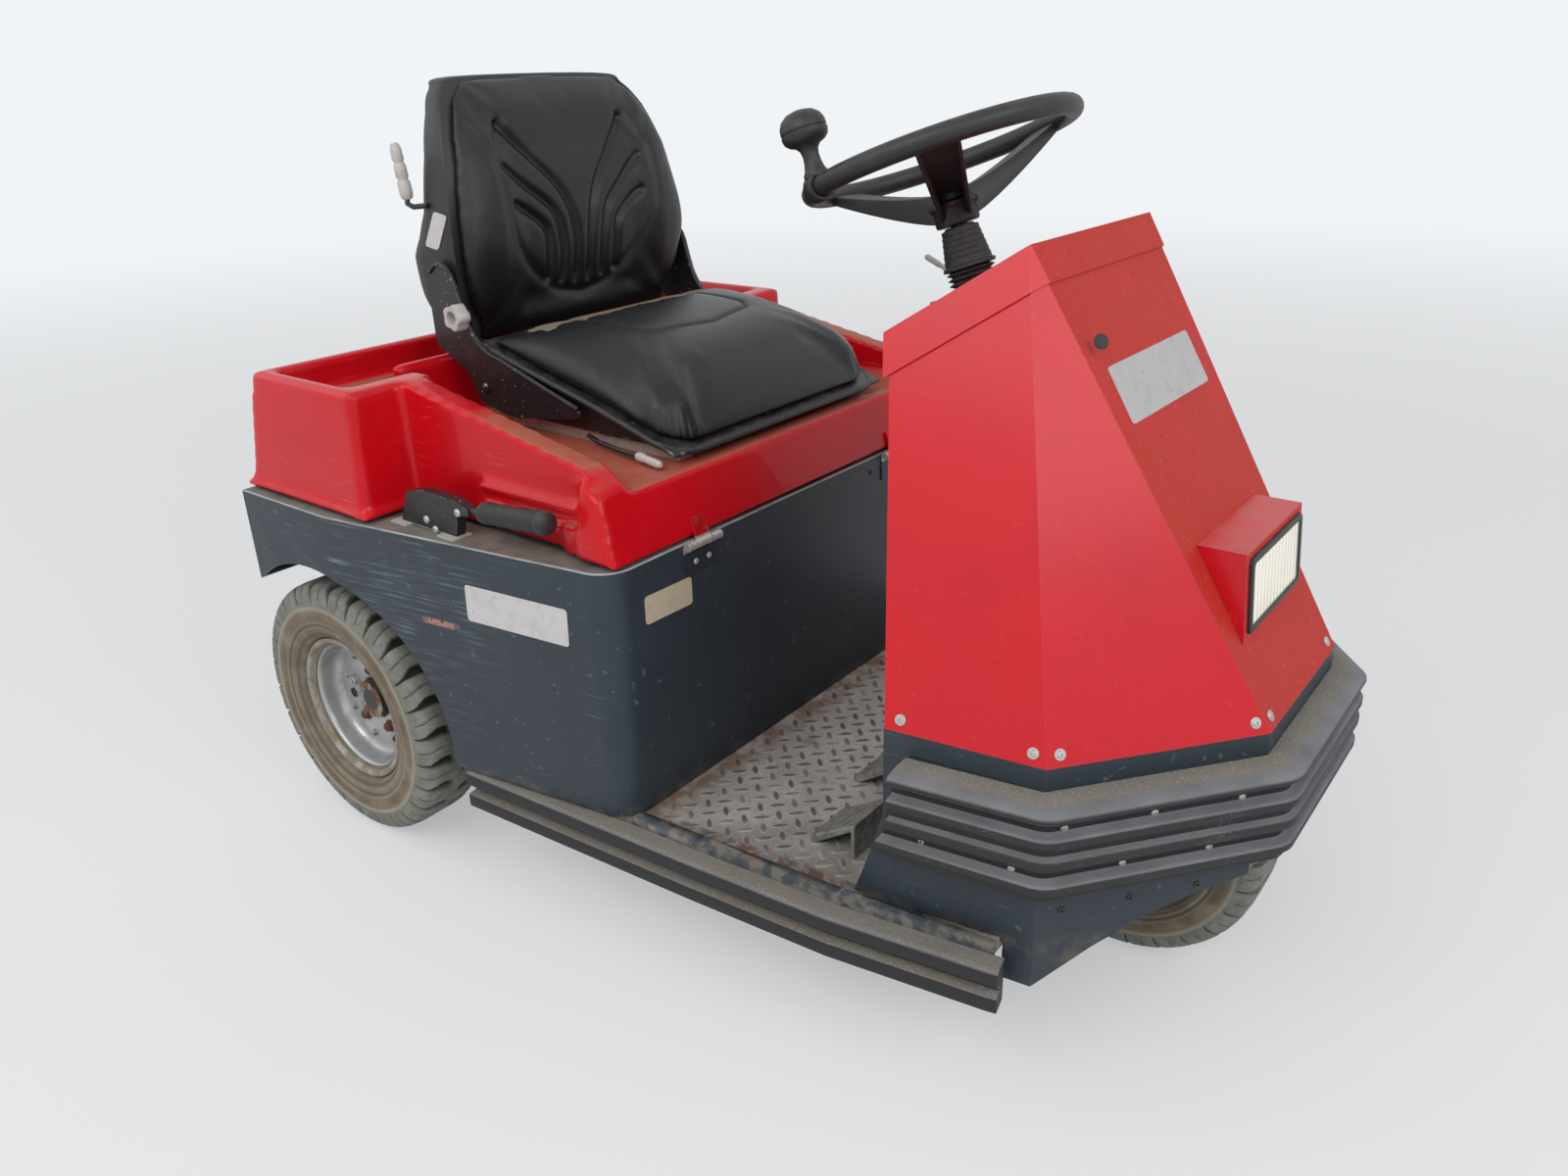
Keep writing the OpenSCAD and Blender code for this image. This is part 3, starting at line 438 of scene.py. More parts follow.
def grey_paint():
    """Blue-grey sheet paint with long pale scratches and dust."""
    f = Finish("Grey paint", "grey_paint", (0.030, 0.042, 0.055), 0.4, specular_ior_level=0.35)
    f.paint(f.cloud(150, 0.4, 0.8, 4) * 0.5, (0.044, 0.058, 0.072), 0.5)
    side = f.step(f.axis("Y", f.facing) * -1, 0.5, 0.9) | f.step(f.axis("Y", f.facing), 0.5, 0.9)
    # Most scratches lie round one place over the rear wheel
    near = 1 - f.step(f.distance(at(150, -460, 480)), 0.08, 0.30)
    f.paint(
        f.scratches(1.8, 150, (0, -0.05, 0), 4, 0.58, "XY") * side * near, (0.27, 0.34, 0.37), 0.6
    )
    f.paint(f.scratches(1.1, 120, (0, 0.1, 0), 9, 0.69, "XY") * side * 0.8, (0.3, 0.36, 0.4), 0.6)
    f.paint(
        f.scratches(6, 110, (0, -0.12, 0), 15, 0.58, "XY") * side * near * 0.8, (0.13, 0.18, 0.21), 0.6
    )
    # A short reddish scrape behind the side sticker
    scrape = f.between(f.axis("X"), REAR_AXLE + 0.228, REAR_AXLE + 0.288, 0.008)
    scrape = scrape * f.between(f.axis("Z"), 0.417, 0.426, 0.002) * side
    f.paint(scrape * f.cloud(5, 0.35, 0.5, seed=16), (0.42, 0.21, 0.18), 0.6)
    f.paint(f.cloud(14, 0.66, 0.7, seed=12) * 0.5, (0.14, 0.16, 0.17), 0.6)
    f.paint(f.worn() * f.cloud(20, 0.35, 0.6, seed=5) * 0.5, (0.2, 0.22, 0.23), 0.55)
    # The box's upper edge is painted bright, as wear and as a painted highlight along it, and dirt
    # lies along its foot
    deck = f.between(f.axis("Z"), 0.533, 0.56, 0.002)
    f.paint(f.up(0.8, 0.97) * (0.4 + f.cloud(35, 0.2, 0.7, seed=3) * 0.5), (0.26, 0.235, 0.195), 0.8)
    f.paint(f.worn() * deck * (0.4 + f.cloud(60, 0.3, 0.6, seed=5) * 0.5), (0.44, 0.47, 0.48), 0.5)
    low = 1 - f.step(f.axis("Z"), FLOOR_TOP * MM + 0.002, FLOOR_TOP * MM + 0.022)
    f.paint(low * f.cloud(30, 0.4, 0.7, seed=13) * 0.25, DUST, 0.85)
    f.relief(f.noise(3, 2, seed=6) * 0.06)
    return f.done()


def black_paint(name="Black paint", chips=0.70):
    """Black paint with worn edges. The lower chips is, the more chips it has."""
    f = Finish(name, "black_paint", (0.014, 0.014, 0.016), 0.35)
    f.paint(f.cloud(25, 0.5, 0.8) * 0.3, (0.045, 0.042, 0.04), 0.55)
    f.paint(f.worn() * f.cloud(10, 0.56, 0.64, seed=2) * 0.8, (0.25, 0.23, 0.21), 0.5)
    f.paint(f.cloud(6, chips, chips + 0.03, seed=5), (0.4, 0.37, 0.34), 0.5)
    f.paint(f.up(0.6, 0.95) * f.cloud(25, 0.3, 0.8, seed=3) * 0.3, (0.17, 0.15, 0.125), 0.8)
    return f.done()


def bracket_paint():
    """Chipped black pressing on bare plated feet."""
    f = Finish("Bracket paint", "black_paint", (0.016, 0.016, 0.017), 0.45)
    feet = 1 - f.step(f.axis("Z"), 0.5481, 0.5485)
    f.paint(feet, (0.5, 0.5, 0.47), 0.5)
    f.paint(f.worn() * f.cloud(9, 0.5, 0.58, seed=2) * 0.8, (0.3, 0.29, 0.27), 0.5)
    f.paint(f.cloud(5, 0.68, 0.71, seed=5), (0.4, 0.38, 0.35), 0.5)
    return f.done()


def bumper_rubber():
    """Black ribbed rubber, scratched on its ribs, grey on its ledges, with brown
    dust on the highest and the lowest of them."""
    f = Finish("Bumper rubber", "rubber", (0.014, 0.014, 0.015), 0.62)
    rib = f.kept("rib")
    f.paint(rib * (0.6 + f.cloud(50, 0.3, 0.7, seed=1) * 0.4), (0.020, 0.020, 0.021), 0.62)
    f.paint(f.scratches(1.6, 120, (0, 0, 0.2), 4, 0.57) * 0.5 * rib, (0.30, 0.31, 0.32), 0.6)
    f.paint(f.cloud(9, 0.6, 0.7, seed=8) * 0.35 * rib, (0.06, 0.058, 0.055))
    dusty = 0.45 + f.cloud(45, 0.3, 0.65, seed=3) * 0.45
    ends = f.step(f.axis("Z"), 0.4008, 0.4022) | (1 - f.step(f.axis("Z"), 0.20, 0.22))
    f.paint(f.up(0.25, 0.7) * (0.7 + f.cloud(60, 0.3, 0.7, seed=1) * 0.3), (0.20, 0.205, 0.215), 0.7)
    f.paint(f.up(0.5, 0.9) * dusty * ends, (0.21, 0.185, 0.145), 0.9)
    f.paint(f.up(0.5, 0.9) * f.cloud(3, 0.58, 0.64, 2, seed=11) * ends * 0.5, (0.38, 0.35, 0.30), 0.9)
    f.relief(f.noise(1.5, 3, seed=6) * 0.15)
    f.relief(f.noise(14, 3, seed=7) * 0.5)
    return f.done()


def tyre_rubber():
    """Dusty grey-green lugs with grooves painted near black, partly painted shade, over a tan, ridged
    sidewall.
    """
    f = Finish("Tyre rubber", "tyre", (0.175, 0.18, 0.155), 0.85)
    f.paint(f.cloud(16, 0.35, 0.7), (0.25, 0.255, 0.225), 0.9)
    f.paint(f.cloud(4, 0.55, 0.7, 2, seed=4) * 0.4, (0.12, 0.12, 0.10))
    ring = f.kept("ring")
    wall = 1 - f.step(ring, 172.5, 175)
    f.paint(wall, (0.19, 0.155, 0.11), 0.9)
    f.paint(wall * f.cloud(40, 0.4, 0.65, seed=5), (0.26, 0.225, 0.165), 0.9)
    f.paint(f.between(ring, 150, 163, 5) * f.cloud(45, 0.35, 0.6, seed=7) * 0.7, (0.13, 0.085, 0.05))
    f.paint(f.between(ring, 142, 145, 0.8) * 0.6, (0.07, 0.055, 0.04))
    f.paint(f.between(ring, 147.5, 149, 0.8) * 0.6, (0.30, 0.27, 0.2))
    f.paint(f.between(ring, 125, 131, 2) * 0.7, (0.10, 0.07, 0.045))
    f.paint(f.between(ring, 168, 174, 1.5) * 0.7, (0.38, 0.35, 0.27))
    # The grooves and sipes are painted near black: the rubber's own black, and painted shade in them
    f.paint(f.kept("groove") * 0.95, (0.018, 0.017, 0.015))
    f.relief(f.noise(2.5, 4, seed=6) * 0.25)
    return f.done()


def rim_metal():
    """Silver wheel paint, rusty round the hub, stained further out and dusty at
    its edge."""
    f = Finish("Rim paint", "rim_paint", (0.46, 0.47, 0.48), 0.34, metallic=0.55)
    f.paint(f.cloud(45, 0.42, 0.75, seed=9) * 0.6, (0.30, 0.29, 0.28), 0.55)
    ring = f.kept("ring")
    barrel = f.between(ring, 84, 99, 3)
    bolts = f.between(ring, 70, 90, 2)
    by_hub = 1 - f.step(ring, 33, 36)
    f.paint(barrel * f.cloud(30, 0.46, 0.6, seed=3) * 0.4, (0.24, 0.2, 0.17), 0.7)
    f.paint(bolts * f.cloud(8, 0.66, 0.72, seed=6) * 0.3, (0.22, 0.15, 0.11), 0.8)
    dusty = 0.35 + f.cloud(25, 0.35, 0.6, seed=2) * 0.5
    f.paint(f.step(ring, 104, 107) * dusty, (0.28, 0.22, 0.155), 0.85)
    f.paint(by_hub * f.cloud(24, 0.42, 0.52, seed=8) * 0.9, RUST, 0.9)
    f.relief(f.noise(5, 3, seed=6) * 0.1)
    return f.done()


def hub_rust():
    """Brown rust with a few grey places."""
    f = Finish("Hub rust", "rim_paint", (0.14, 0.06, 0.03), 0.9)
    f.paint(1 - f.cloud(24, 0.46, 0.54, seed=9), (0.30, 0.29, 0.275), 0.6)
    f.paint(f.cloud(5, 0.4, 0.65), (0.26, 0.12, 0.05), 0.95)
    f.relief(f.noise(3, 5, seed=6) * 0.8)
    return f.done()


def zinc(name="Zinc", painted=1.0):
    """Worn plated steel, sprayed over where it lies on the box. Above the height
    painted it is red."""
    f = Finish(name, "zinc", (0.52, 0.52, 0.50), 0.42, metallic=0.6)
    f.paint(f.step(f.axis("Z"), painted, painted + 0.002), (0.60, 0.004, 0.012), 0.4)
    f.paint(f.cloud(12, 0.5, 0.75, seed=2) * 0.6, (0.27, 0.24, 0.2), 0.7)
    box_face = f.between(f.axis("X"), REAR_AXLE + 0.5515, REAR_AXLE + 0.5555, 0.0003)
    f.paint(box_face * (1 - f.step(f.axis("Z"), 0.530, 0.532)), (0.045, 0.06, 0.076), 0.45)
    f.paint(f.cloud(5, 0.66, 0.7, seed=3) * 0.7, RUST, 0.8)
    return f.done()


def floor_steel():
    """Worn pale floor with darker raised drops, rust by the box and inside its
    edges, and a strip of grey paint along them."""
    f = Finish("Floor steel", "steel", (0.52, 0.49, 0.44), 0.8)
    f.paint(f.cloud(60, 0.35, 0.7), (0.62, 0.59, 0.54), 0.85)
    f.paint(f.cloud(4, 0.5, 0.66, 3, seed=4) * 0.6, (0.36, 0.33, 0.285))
    f.paint(f.cloud(2.5, 0.6, 0.66, 2, seed=8) * 0.6, (0.72, 0.70, 0.65))
    by_box = 1 - f.step(f.axis("X"), REAR_AXLE + 0.560, REAR_AXLE + 0.615)
    # How far out a place lies, where the floor's slanting edges lie equally far
    across = f.axis("Y")
    away = (across | across * -1) + f.axis("X") * 0.085
    rusty_edge = by_box | f.between(away, 0.380, 0.397, 0.004)
    painted = f.step(away, 0.3965, 0.3975)
    f.paint(rusty_edge * f.cloud(22, 0.3, 0.6, seed=2) * 0.8, (0.24, 0.12, 0.065), 0.85)
    f.paint(painted, (0.07, 0.088, 0.104), 0.45)
    f.paint(painted * f.cloud(18, 0.4, 0.6, seed=14) * 0.6, (0.32, 0.28, 0.22))
    f.paint(f.cloud(70, 0.6, 0.68, 6, seed=12) * 0.5, (0.2, 0.10, 0.05), 0.85)
    f.paint(f.kept("raised") * (0.55 + 0.45 * f.cloud(50, 0.3, 0.6, seed=5)), (0.11, 0.12, 0.125), 0.4)
    f.relief(f.noise(1.2, 3, seed=6) * 0.12)
    return f.done()


def pedal_steel():
    """Dull bare steel with darker places."""
    f = Finish("Pedal steel", "steel", (0.34, 0.34, 0.32), 0.5, metallic=0.4)
    f.paint(f.cloud(12, 0.4, 0.7), (0.2, 0.19, 0.17), 0.6)
    f.relief(f.noise(2, 3, seed=6) * 0.3)
    return f.done()


def black_plastic():
    """Fine-grained black plastic with dust on its upper faces."""
    f = Finish("Black plastic", "black_plastic", (0.017, 0.017, 0.018), 0.48)
    f.paint(f.cloud(30, 0.5, 0.8) * 0.3, (0.06, 0.058, 0.055), 0.6)
    f.paint(f.up(0.5, 0.95) * f.cloud(14, 0.4, 0.7, seed=3) * 0.3, (0.12, 0.11, 0.10), 0.7)
    f.relief(f.noise(0.9, 2, seed=6) * 0.08)
    return f.done()


def boot_rubber():
    """Matt black rubber with grey dust."""
    f = Finish("Boot rubber", "rubber", (0.02, 0.02, 0.021), 0.6)
    f.paint(f.cloud(10, 0.45, 0.75) * 0.5, (0.07, 0.066, 0.06), 0.8)
    f.relief(f.noise(6, 3, (1, 1, 2.5), seed=6) * 0.8)
    return f.done()


def white_plastic():
    """Aged off-white plastic, handled brown in places."""
    f = Finish("White plastic", "white_plastic", (0.55, 0.53, 0.50), 0.5)
    f.paint(f.cloud(10, 0.5, 0.75) * 0.5, (0.34, 0.30, 0.26), 0.6)
    f.relief(f.noise(2, 3, seed=6) * 0.1)
    return f.done()


def sticker_sheet(name, slot, colour):
    """A blank sticker, faded and scuffed."""
    f = Finish(name, slot, colour, 0.45)
    f.paint(f.cloud(20, 0.45, 0.75) * 0.4, tuple(c * 0.7 for c in colour), 0.55)
    f.paint(f.scratches(0.8, 50, (0, 0.1, 0), 3, 0.64) * 0.5, tuple(c * 0.45 for c in colour), 0.6)
    f.paint(f.cloud(6, 0.68, 0.72, seed=5) * 0.6, (0.2, 0.18, 0.16), 0.6)
    return f.done()


def vinyl():
    """Black grained seat vinyl, worn to its tan backing across the cushion's rear."""
    f = Finish("Vinyl", "vinyl", (0.008, 0.0085, 0.0095), 0.36, specular_ior_level=0.42)
    f.paint(f.cloud(70, 0.45, 0.8, 4) * 0.3, (0.02, 0.02, 0.021), 0.44)
    bare = f.kept("bare")
    f.paint(f.step(bare * 0.8 + f.noise(45, 5, seed=4) * 1.2, 0.97, 1.01), (0.22, 0.18, 0.125), 0.9)
    f.paint(f.kept("seam") * 0.6, (0.006, 0.006, 0.006), 0.7)
    f.relief(f.cells(1.7) * -0.3)
    f.relief(f.noise(9, 3, seed=8) * 0.15)
    return f.done()


def lamp_glass():
    """Warm white lamp glass with upright flutes and a faint painted glow."""
    f = Finish("Lamp glass", "lens", (0.80, 0.74, 0.58), 0.12, coat_weight=1.0)
    f.paint(f.cloud(60, 0.35, 0.65, 2) * 0.7, (0.92, 0.90, 0.80), 0.12)
    # A faint warm glow: painted light caught in the glass and its reflector
    f.feed("Emission Color", (1.0, 0.93, 0.75, 1))
    f.feed("Emission Strength", 0.25)
    wave = f.node(
        "ShaderNodeTexWave", {"bands_direction": "Y"}, {"Vector": f.place, "Scale": 26}
    )
    f.relief(Value(f, wave.outputs["Fac"]) * 0.7)
    return f.done()


def lamp_red():
    """Red tail lamp glass with round flutes behind it."""
    f = Finish("Tail lamp", "lamp_red", (0.36, 0.006, 0.006), 0.25, coat_weight=0.3,
               specular_ior_level=0.3)
    f.paint(f.cloud(20, 0.4, 0.7) * 0.3, (0.25, 0.01, 0.01), 0.4)
    f.relief(f.cells(6) * -0.6)
    return f.done()


def battery_case():
    """Dark battery case with dust on its top."""
    f = Finish("Battery case", "battery", (0.03, 0.033, 0.036), 0.6)
    f.paint(f.up() * f.cloud(35, 0.2, 0.7, seed=3) * 0.7, DUST, 0.85)
    f.relief(f.noise(3, 3, seed=6) * 0.2)
    return f.done()


# Mesh building


def sharp_and_smooth(mesh, angle=35):
    """Shades a mesh smooth but for edges that bend by more than an angle."""
    mesh.shade_smooth()
    mesh.set_sharp_from_angle(angle=math.radians(angle))


def closed_up(mesh):
    """Joins points that lie together and turns all faces outwards."""
    bm = bmesh.new()
    bm.from_mesh(mesh)
    bmesh.ops.remove_doubles(bm, verts=bm.verts, dist=0.02 * MM)
    bmesh.ops.recalc_face_normals(bm, faces=bm.faces)
    bm.to_mesh(mesh)
    bm.free()
    return mesh


def lofted(name, rings, closed=True, wrap=False):
    """A skin over rings of equally many points, in metres. closed joins each
    ring's end to its start. The end rings are filled, or joined if wrap is set."""
    n = len(rings[0])
    total = len(rings)
    faces = []
    for k in range(total if wrap else total - 1):
        a, b = k * n, (k + 1) % total * n
        for i in range(n if closed else n - 1):
            j = (i + 1) % n
            faces.append((a + i, a + j, b + j, b + i))
    if not wrap:
        faces.append(tuple(range(n))[::-1])
        faces.append(tuple(range((total - 1) * n, total * n)))
    mesh = bpy.data.meshes.new(name)
    mesh.from_pydata([tuple(p) for ring in rings for p in ring], [], faces)
    return closed_up(mesh)


def turned(name, profile, place, steps=48, closed=False):
    """A solid of revolution: profile of radius and height along place's Z axis."""
    rings = []
    for i in range(steps):
        angle = 2 * math.pi * i / steps
        c, s = math.cos(angle), math.sin(angle)
        rings.append([place @ Vector((r * c * MM, r * s * MM, h * MM)) for r, h in profile])
    mesh = lofted(name, rings, closed=closed, wrap=True)
    sharp_and_smooth(mesh, 40)
    return mesh


def keep_values(mesh, name, values):
    """Keeps a number for each point, for the finish to read."""
    layer = mesh.attributes.new(name, "FLOAT", "POINT")
    layer.data.foreach_set("value", values)


def joined(name, meshes):
    """Several meshes as one."""
    bm = bmesh.new()
    for mesh in meshes:
        bm.from_mesh(mesh)
    whole = bpy.data.meshes.new(name)
    bm.to_mesh(whole)
    bm.free()
    return whole


def tube(name, route, radius, steps=10):
    """A round rod along points in metres, its ends closed."""
    rings = []
    side = None
    for k, point in enumerate(route):
        ahead = route[min(k + 1, len(route) - 1)] - route[max(k - 1, 0)]
        ahead.normalize()
        side = side or ahead.orthogonal()
        side = (side - side.dot(ahead) * ahead).normalized()
        other = ahead.cross(side)
        r = (radius(k) if callable(radius) else radius) * MM
        rings.append(
            [
                point + r * (math.cos(a) * side + math.sin(a) * other)
                for a in (2 * math.pi * i / steps for i in range(steps))
            ]
        )
    mesh = lofted(name, rings)
    sharp_and_smooth(mesh, 50)
    return mesh


def curve_through(points, between, closed=False):
    """Points on a smooth curve through the given ones, so many from one to the next."""
    n = len(points)
    made = []
    for k in range(n if closed else n - 1):
        near = [(k + o) % n if closed else min(max(k + o, 0), n - 1) for o in (-1, 0, 1, 2)]
        a, b, c, d = (Vector(points[i]) for i in near)
        for i in range(between):
            t = i / between
            made.append(
                0.5
                * (
                    2 * b
                    + (c - a) * t
                    + (2 * a - 5 * b + 4 * c - d) * t * t
                    + (3 * b - a - 3 * c + d) * t**3
                )
            )
    if not closed:
        made.append(Vector(points[-1]))
    return made


def standing(point, way):
    """A placement whose Z axis starts at a point and runs a given way."""
    return Matrix.Translation(point) @ way.to_track_quat("Z", "Y").to_matrix().to_4x4()


def rounded_rectangle(half_w, half_h, radius, steps):
    """Across and up of the points of a flat rectangle with rounded corners."""
    made = []
    for cx, cy, start in ((1, 1, 0), (-1, 1, 90), (-1, -1, 180), (1, -1, 270)):
        for i in range(steps + 1):
            a = math.radians(start + 90 / steps * i)
            across = cx * (half_w - radius) + radius * math.cos(a)
            made.append((across, cy * (half_h - radius) + radius * math.sin(a)))
    return made


def finish_piece(name, mesh, body, finish, stands_for=()):
    """Puts a mesh in the scene on its body, with its finish."""
    mesh.materials.clear()
    mesh.materials.append(finish.material)
    piece = bpy.data.objects.new(name, mesh)
    scene.collection.objects.link(piece)
    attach(piece, body)
    if stands_for:
        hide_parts(*stands_for)
    return piece


def evaluated(piece):
    """The mesh of a piece with its modifiers in it."""
    depsgraph = bpy.context.evaluated_depsgraph_get()
    return bpy.data.meshes.new_from_object(
        piece.evaluated_get(depsgraph), preserve_all_data_layers=True, depsgraph=depsgraph
    )


def applied(mesh, name, kind, **settings):
    """The mesh after one modifier."""
    piece = bpy.data.objects.new("Draft", mesh)
    scene.collection.objects.link(piece)
    modifier = piece.modifiers.new(name, kind)
    for setting, value in settings.items():
        setattr(modifier, setting, value)
    made = evaluated(piece)
    bpy.data.objects.remove(piece)
    return made


def merged_copy(node):
    """A copy of a CAD node's mesh with its loose triangles merged to whole faces."""
    bm = bmesh.new()
    bm.from_mesh(frame["nodes"][node].data)
    bmesh.ops.remove_doubles(bm, verts=bm.verts, dist=1e-5)
    bmesh.ops.dissolve_limit(
        bm, angle_limit=math.radians(0.5), verts=bm.verts, edges=bm.edges
    )
    return bm


def mark_edges(mesh):
    """Keeps 1 at points inside the rounded edges and 0 elsewhere, for wear and for painted highlights
    along them.
    """
    flat = set()
    for face in mesh.polygons:
        if face.material_index == 0:
            flat.update(face.vertices)
    keep_values(mesh, "edge", [float(i not in flat) for i in range(len(mesh.vertices))])
    for face in mesh.polygons:
        face.material_index = 0


def softened(node, width, wide=None):
    """A copy of a CAD node with its edges rounded by width millimetres, or by
    what wide(middle) gives for an edge whose middle lies there, in metres."""
    bm = merged_copy(node)
    layer = bm.edges.layers.float.new("bevel_weight_edge")
    widths = {}
    for edge in bm.edges:
        if len(edge.link_faces) == 2 and edge.calc_face_angle(0) > math.radians(25):
            a, b = (v.co for v in edge.verts)
            widths[edge] = wide((a + b) / 2) if wide else width
    most = max(widths.values())
    for edge, value in widths.items():
        edge[layer] = value / most
    mesh = bpy.data.meshes.new(node)
    bm.to_mesh(mesh)
    bm.free()
    mesh.materials.append(None)
    mesh.materials.append(None)
    sharp_and_smooth(mesh)
    mesh = applied(
        mesh,
        "Rounded edges",
        "BEVEL",
        width=most * MM,
        segments=3,
        limit_method="WEIGHT",
        harden_normals=True,
        material=1,
        use_clamp_overlap=True,
    )
    mark_edges(mesh)
    return mesh


def plain_copy(node):
    """A copy of a CAD node as it is, for a sheet whose edges are covered."""
    bm = bmesh.new()
    bm.from_mesh(frame["nodes"][node].data)
    mesh = bpy.data.meshes.new(node)
    bm.to_mesh(mesh)
    bm.free()
    sharp_and_smooth(closed_up(mesh))
    return mesh


def dress(node, finish, width, wide=None):
    """Puts a copy of a CAD node in its place, with its finish and, where the width
    isn't 0, with rounded edges."""
    body = frame["nodes"][node]["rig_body"]
    name = node.replace("_", " ").title().replace(" ", "_")
    mesh = softened(node, width, wide) if width else plain_copy(node)
    return finish_piece(name, mesh, body, finish, [node])


# Geometry node trees


class Tree:
    """A geometry node tree with named inputs."""

    def __init__(self, name, **inputs):
        self.group = bpy.data.node_groups.new(name, "GeometryNodeTree")
        face = self.group.interface
        face.new_socket(name="Geometry", in_out="INPUT", socket_type="NodeSocketGeometry")
        self.ids = {}
        for label, kind in inputs.items():
            socket = face.new_socket(name=label, in_out="INPUT", socket_type="NodeSocket" + kind)
            self.ids[label] = socket.identifier
        face.new_socket(name="Geometry", in_out="OUTPUT", socket_type="NodeSocketGeometry")
        self.given = self.add("NodeGroupInput").outputs

    def add(self, kind, settings=None, values=None):
        return add_node(self.group, kind, settings, values)

    def ends(self, geometry):
        """Real mesh with the finish on it."""
        real = self.add("GeometryNodeRealizeInstances", None, {0: geometry})
        merged = self.add(
            "GeometryNodeMergeByDistance", None, {0: real.outputs[0], "Distance": 0.00002}
        )
        dressed = self.add(
            "GeometryNodeSetMaterial", None, {0: merged.outputs[0], "Material": self.given["Finish"]}
        )
        self.add("NodeGroupOutput", None, {0: dressed.outputs[0]})

    def grow(self, mesh, **values):
        """What the tree makes from a mesh with these values in its inputs."""
        piece = bpy.data.objects.new("Draft", mesh)
        scene.collection.objects.link(piece)
        modifier = piece.modifiers.new("Grown", "NODES")
        modifier.node_group = self.group
        for label, value in values.items():
            modifier[self.ids[label]] = value
        made = evaluated(piece)
        bpy.data.objects.remove(piece)
        return made


def fastener_tree():
    """Sets one small part on every point, turned by the point's own angles."""
    tree = Tree("Fasteners", Part="Object", Size="Float", Finish="Material")
    part = tree.add("GeometryNodeObjectInfo", None, {"Object": tree.given["Part"]})
    turn = tree.add(
        "GeometryNodeInputNamedAttribute", {"data_type": "FLOAT_VECTOR"}, {"Name": "turn"}
    )
    points = tree.add("GeometryNodeMeshToPoints", None, {0: tree.given["Geometry"]})
    euler = tree.add("FunctionNodeEulerToRotation", None, {0: turn.outputs[0]})
    size = tree.add(
        "ShaderNodeCombineXYZ", None, {i: tree.given["Size"] for i in range(3)}
    )
    copies = tree.add(
        "GeometryNodeInstanceOnPoints",
        None,
        {
            "Points": points.outputs[0],
            "Instance": part.outputs["Geometry"],
            "Rotation": euler.outputs[0],
            "Scale": size.outputs[0],
        },
    )
    tree.ends(copies.outputs[0])
    return tree


def ring_tree():
    """Copies a sector of a wheel all round the Z axis."""
    tree = Tree("Wheel ring", Sectors="Int", Finish="Material")
    count = tree.given["Sectors"]
    points = tree.add("GeometryNodePoints", None, {"Count": count})
    index = tree.add("GeometryNodeInputIndex")
    share = tree.add(
        "ShaderNodeMath", {"operation": "DIVIDE"}, {0: index.outputs[0], 1: count}
    )
    angle = tree.add(
        "ShaderNodeMath", {"operation": "MULTIPLY"}, {0: share.outputs[0], 1: 2 * math.pi}
    )
    vector = tree.add("ShaderNodeCombineXYZ", None, {"Z": angle.outputs[0]})
    euler = tree.add("FunctionNodeEulerToRotation", None, {0: vector.outputs[0]})
    copies = tree.add(
        "GeometryNodeInstanceOnPoints",
        None,
        {
            "Points": points.outputs[0],
            "Instance": tree.given["Geometry"],
            "Rotation": euler.outputs[0],
        },
    )
    tree.ends(copies.outputs[0])
    return tree


def set_parts(name, part, places, body, finish, size=1.0):
    """Copies of a small part: places give a point, the way it faces and its spin."""
    draft = bpy.data.objects.new("Part", part)
    scene.collection.objects.link(draft)
    mesh = bpy.data.meshes.new(name)
    mesh.from_pydata([tuple(place[0]) for place in places], [], [])
    layer = mesh.attributes.new("turn", "FLOAT_VECTOR", "POINT")
    turns = []
    for _, facing, *spin in places:
        turn = Vector(facing).to_track_quat("Z", "Y").to_matrix()
        turns += (turn @ Matrix.Rotation(spin[0] if spin else 0, 3, "Z")).to_euler()
    layer.data.foreach_set("vector", turns)
    made = fasteners.grow(mesh, Part=draft, Size=size, Finish=finish.material)
    bpy.data.objects.remove(draft)
    sharp_and_smooth(made, 40)
    return finish_piece(name, made, body, finish)


def screw_with_washer():
    """Screw head with a socket, on a wide washer. Sizes in millimetres."""
    profile = [(0, 1.2), (1.5, 1.2), (1.9, 2.6), (3.4, 2.4), (4.1, 1.6), (4.2, 1.1),
               (6.3, 1.0), (6.6, 0.5), (6.6, 0)]
    return turned("Screw", profile, Matrix(), 14)


def small_screw():
    """Domed screw head on a small washer."""
    profile = [(0, 0.8), (1.4, 0.8), (1.8, 2.0), (3.0, 1.9), (4.3, 0.9), (4.5, 0)]
    return turned("Small screw", profile, Matrix(), 12)


def hex_nut():
    """A nut with a chamfered top on a flat washer, and the stud's end in it."""
    rings = []
    for radius, height in ((10.5, 0), (10.5, 1.6), (8.2, 1.7), (8.2, 7.6), (7.2, 8.6), (4.4, 8.6),
                           (4.2, 7.4), (3.9, 10.5), (3.0, 11.2)):
        ring = []
        for i in range(24):
            a = 2 * math.pi * i / 24
            flat = math.cos(math.pi / 6) / math.cos((a + math.pi / 6) % (math.pi / 3) - math.pi / 6)
            r = radius * (flat if 5 < radius < 9 else 1)
            ring.append(Vector((r * math.cos(a), r * math.sin(a), height)) * MM)
        rings.append(ring)
    mesh = lofted("Nut", rings)
    sharp_and_smooth(mesh, 40)
    return mesh


# Soft goods


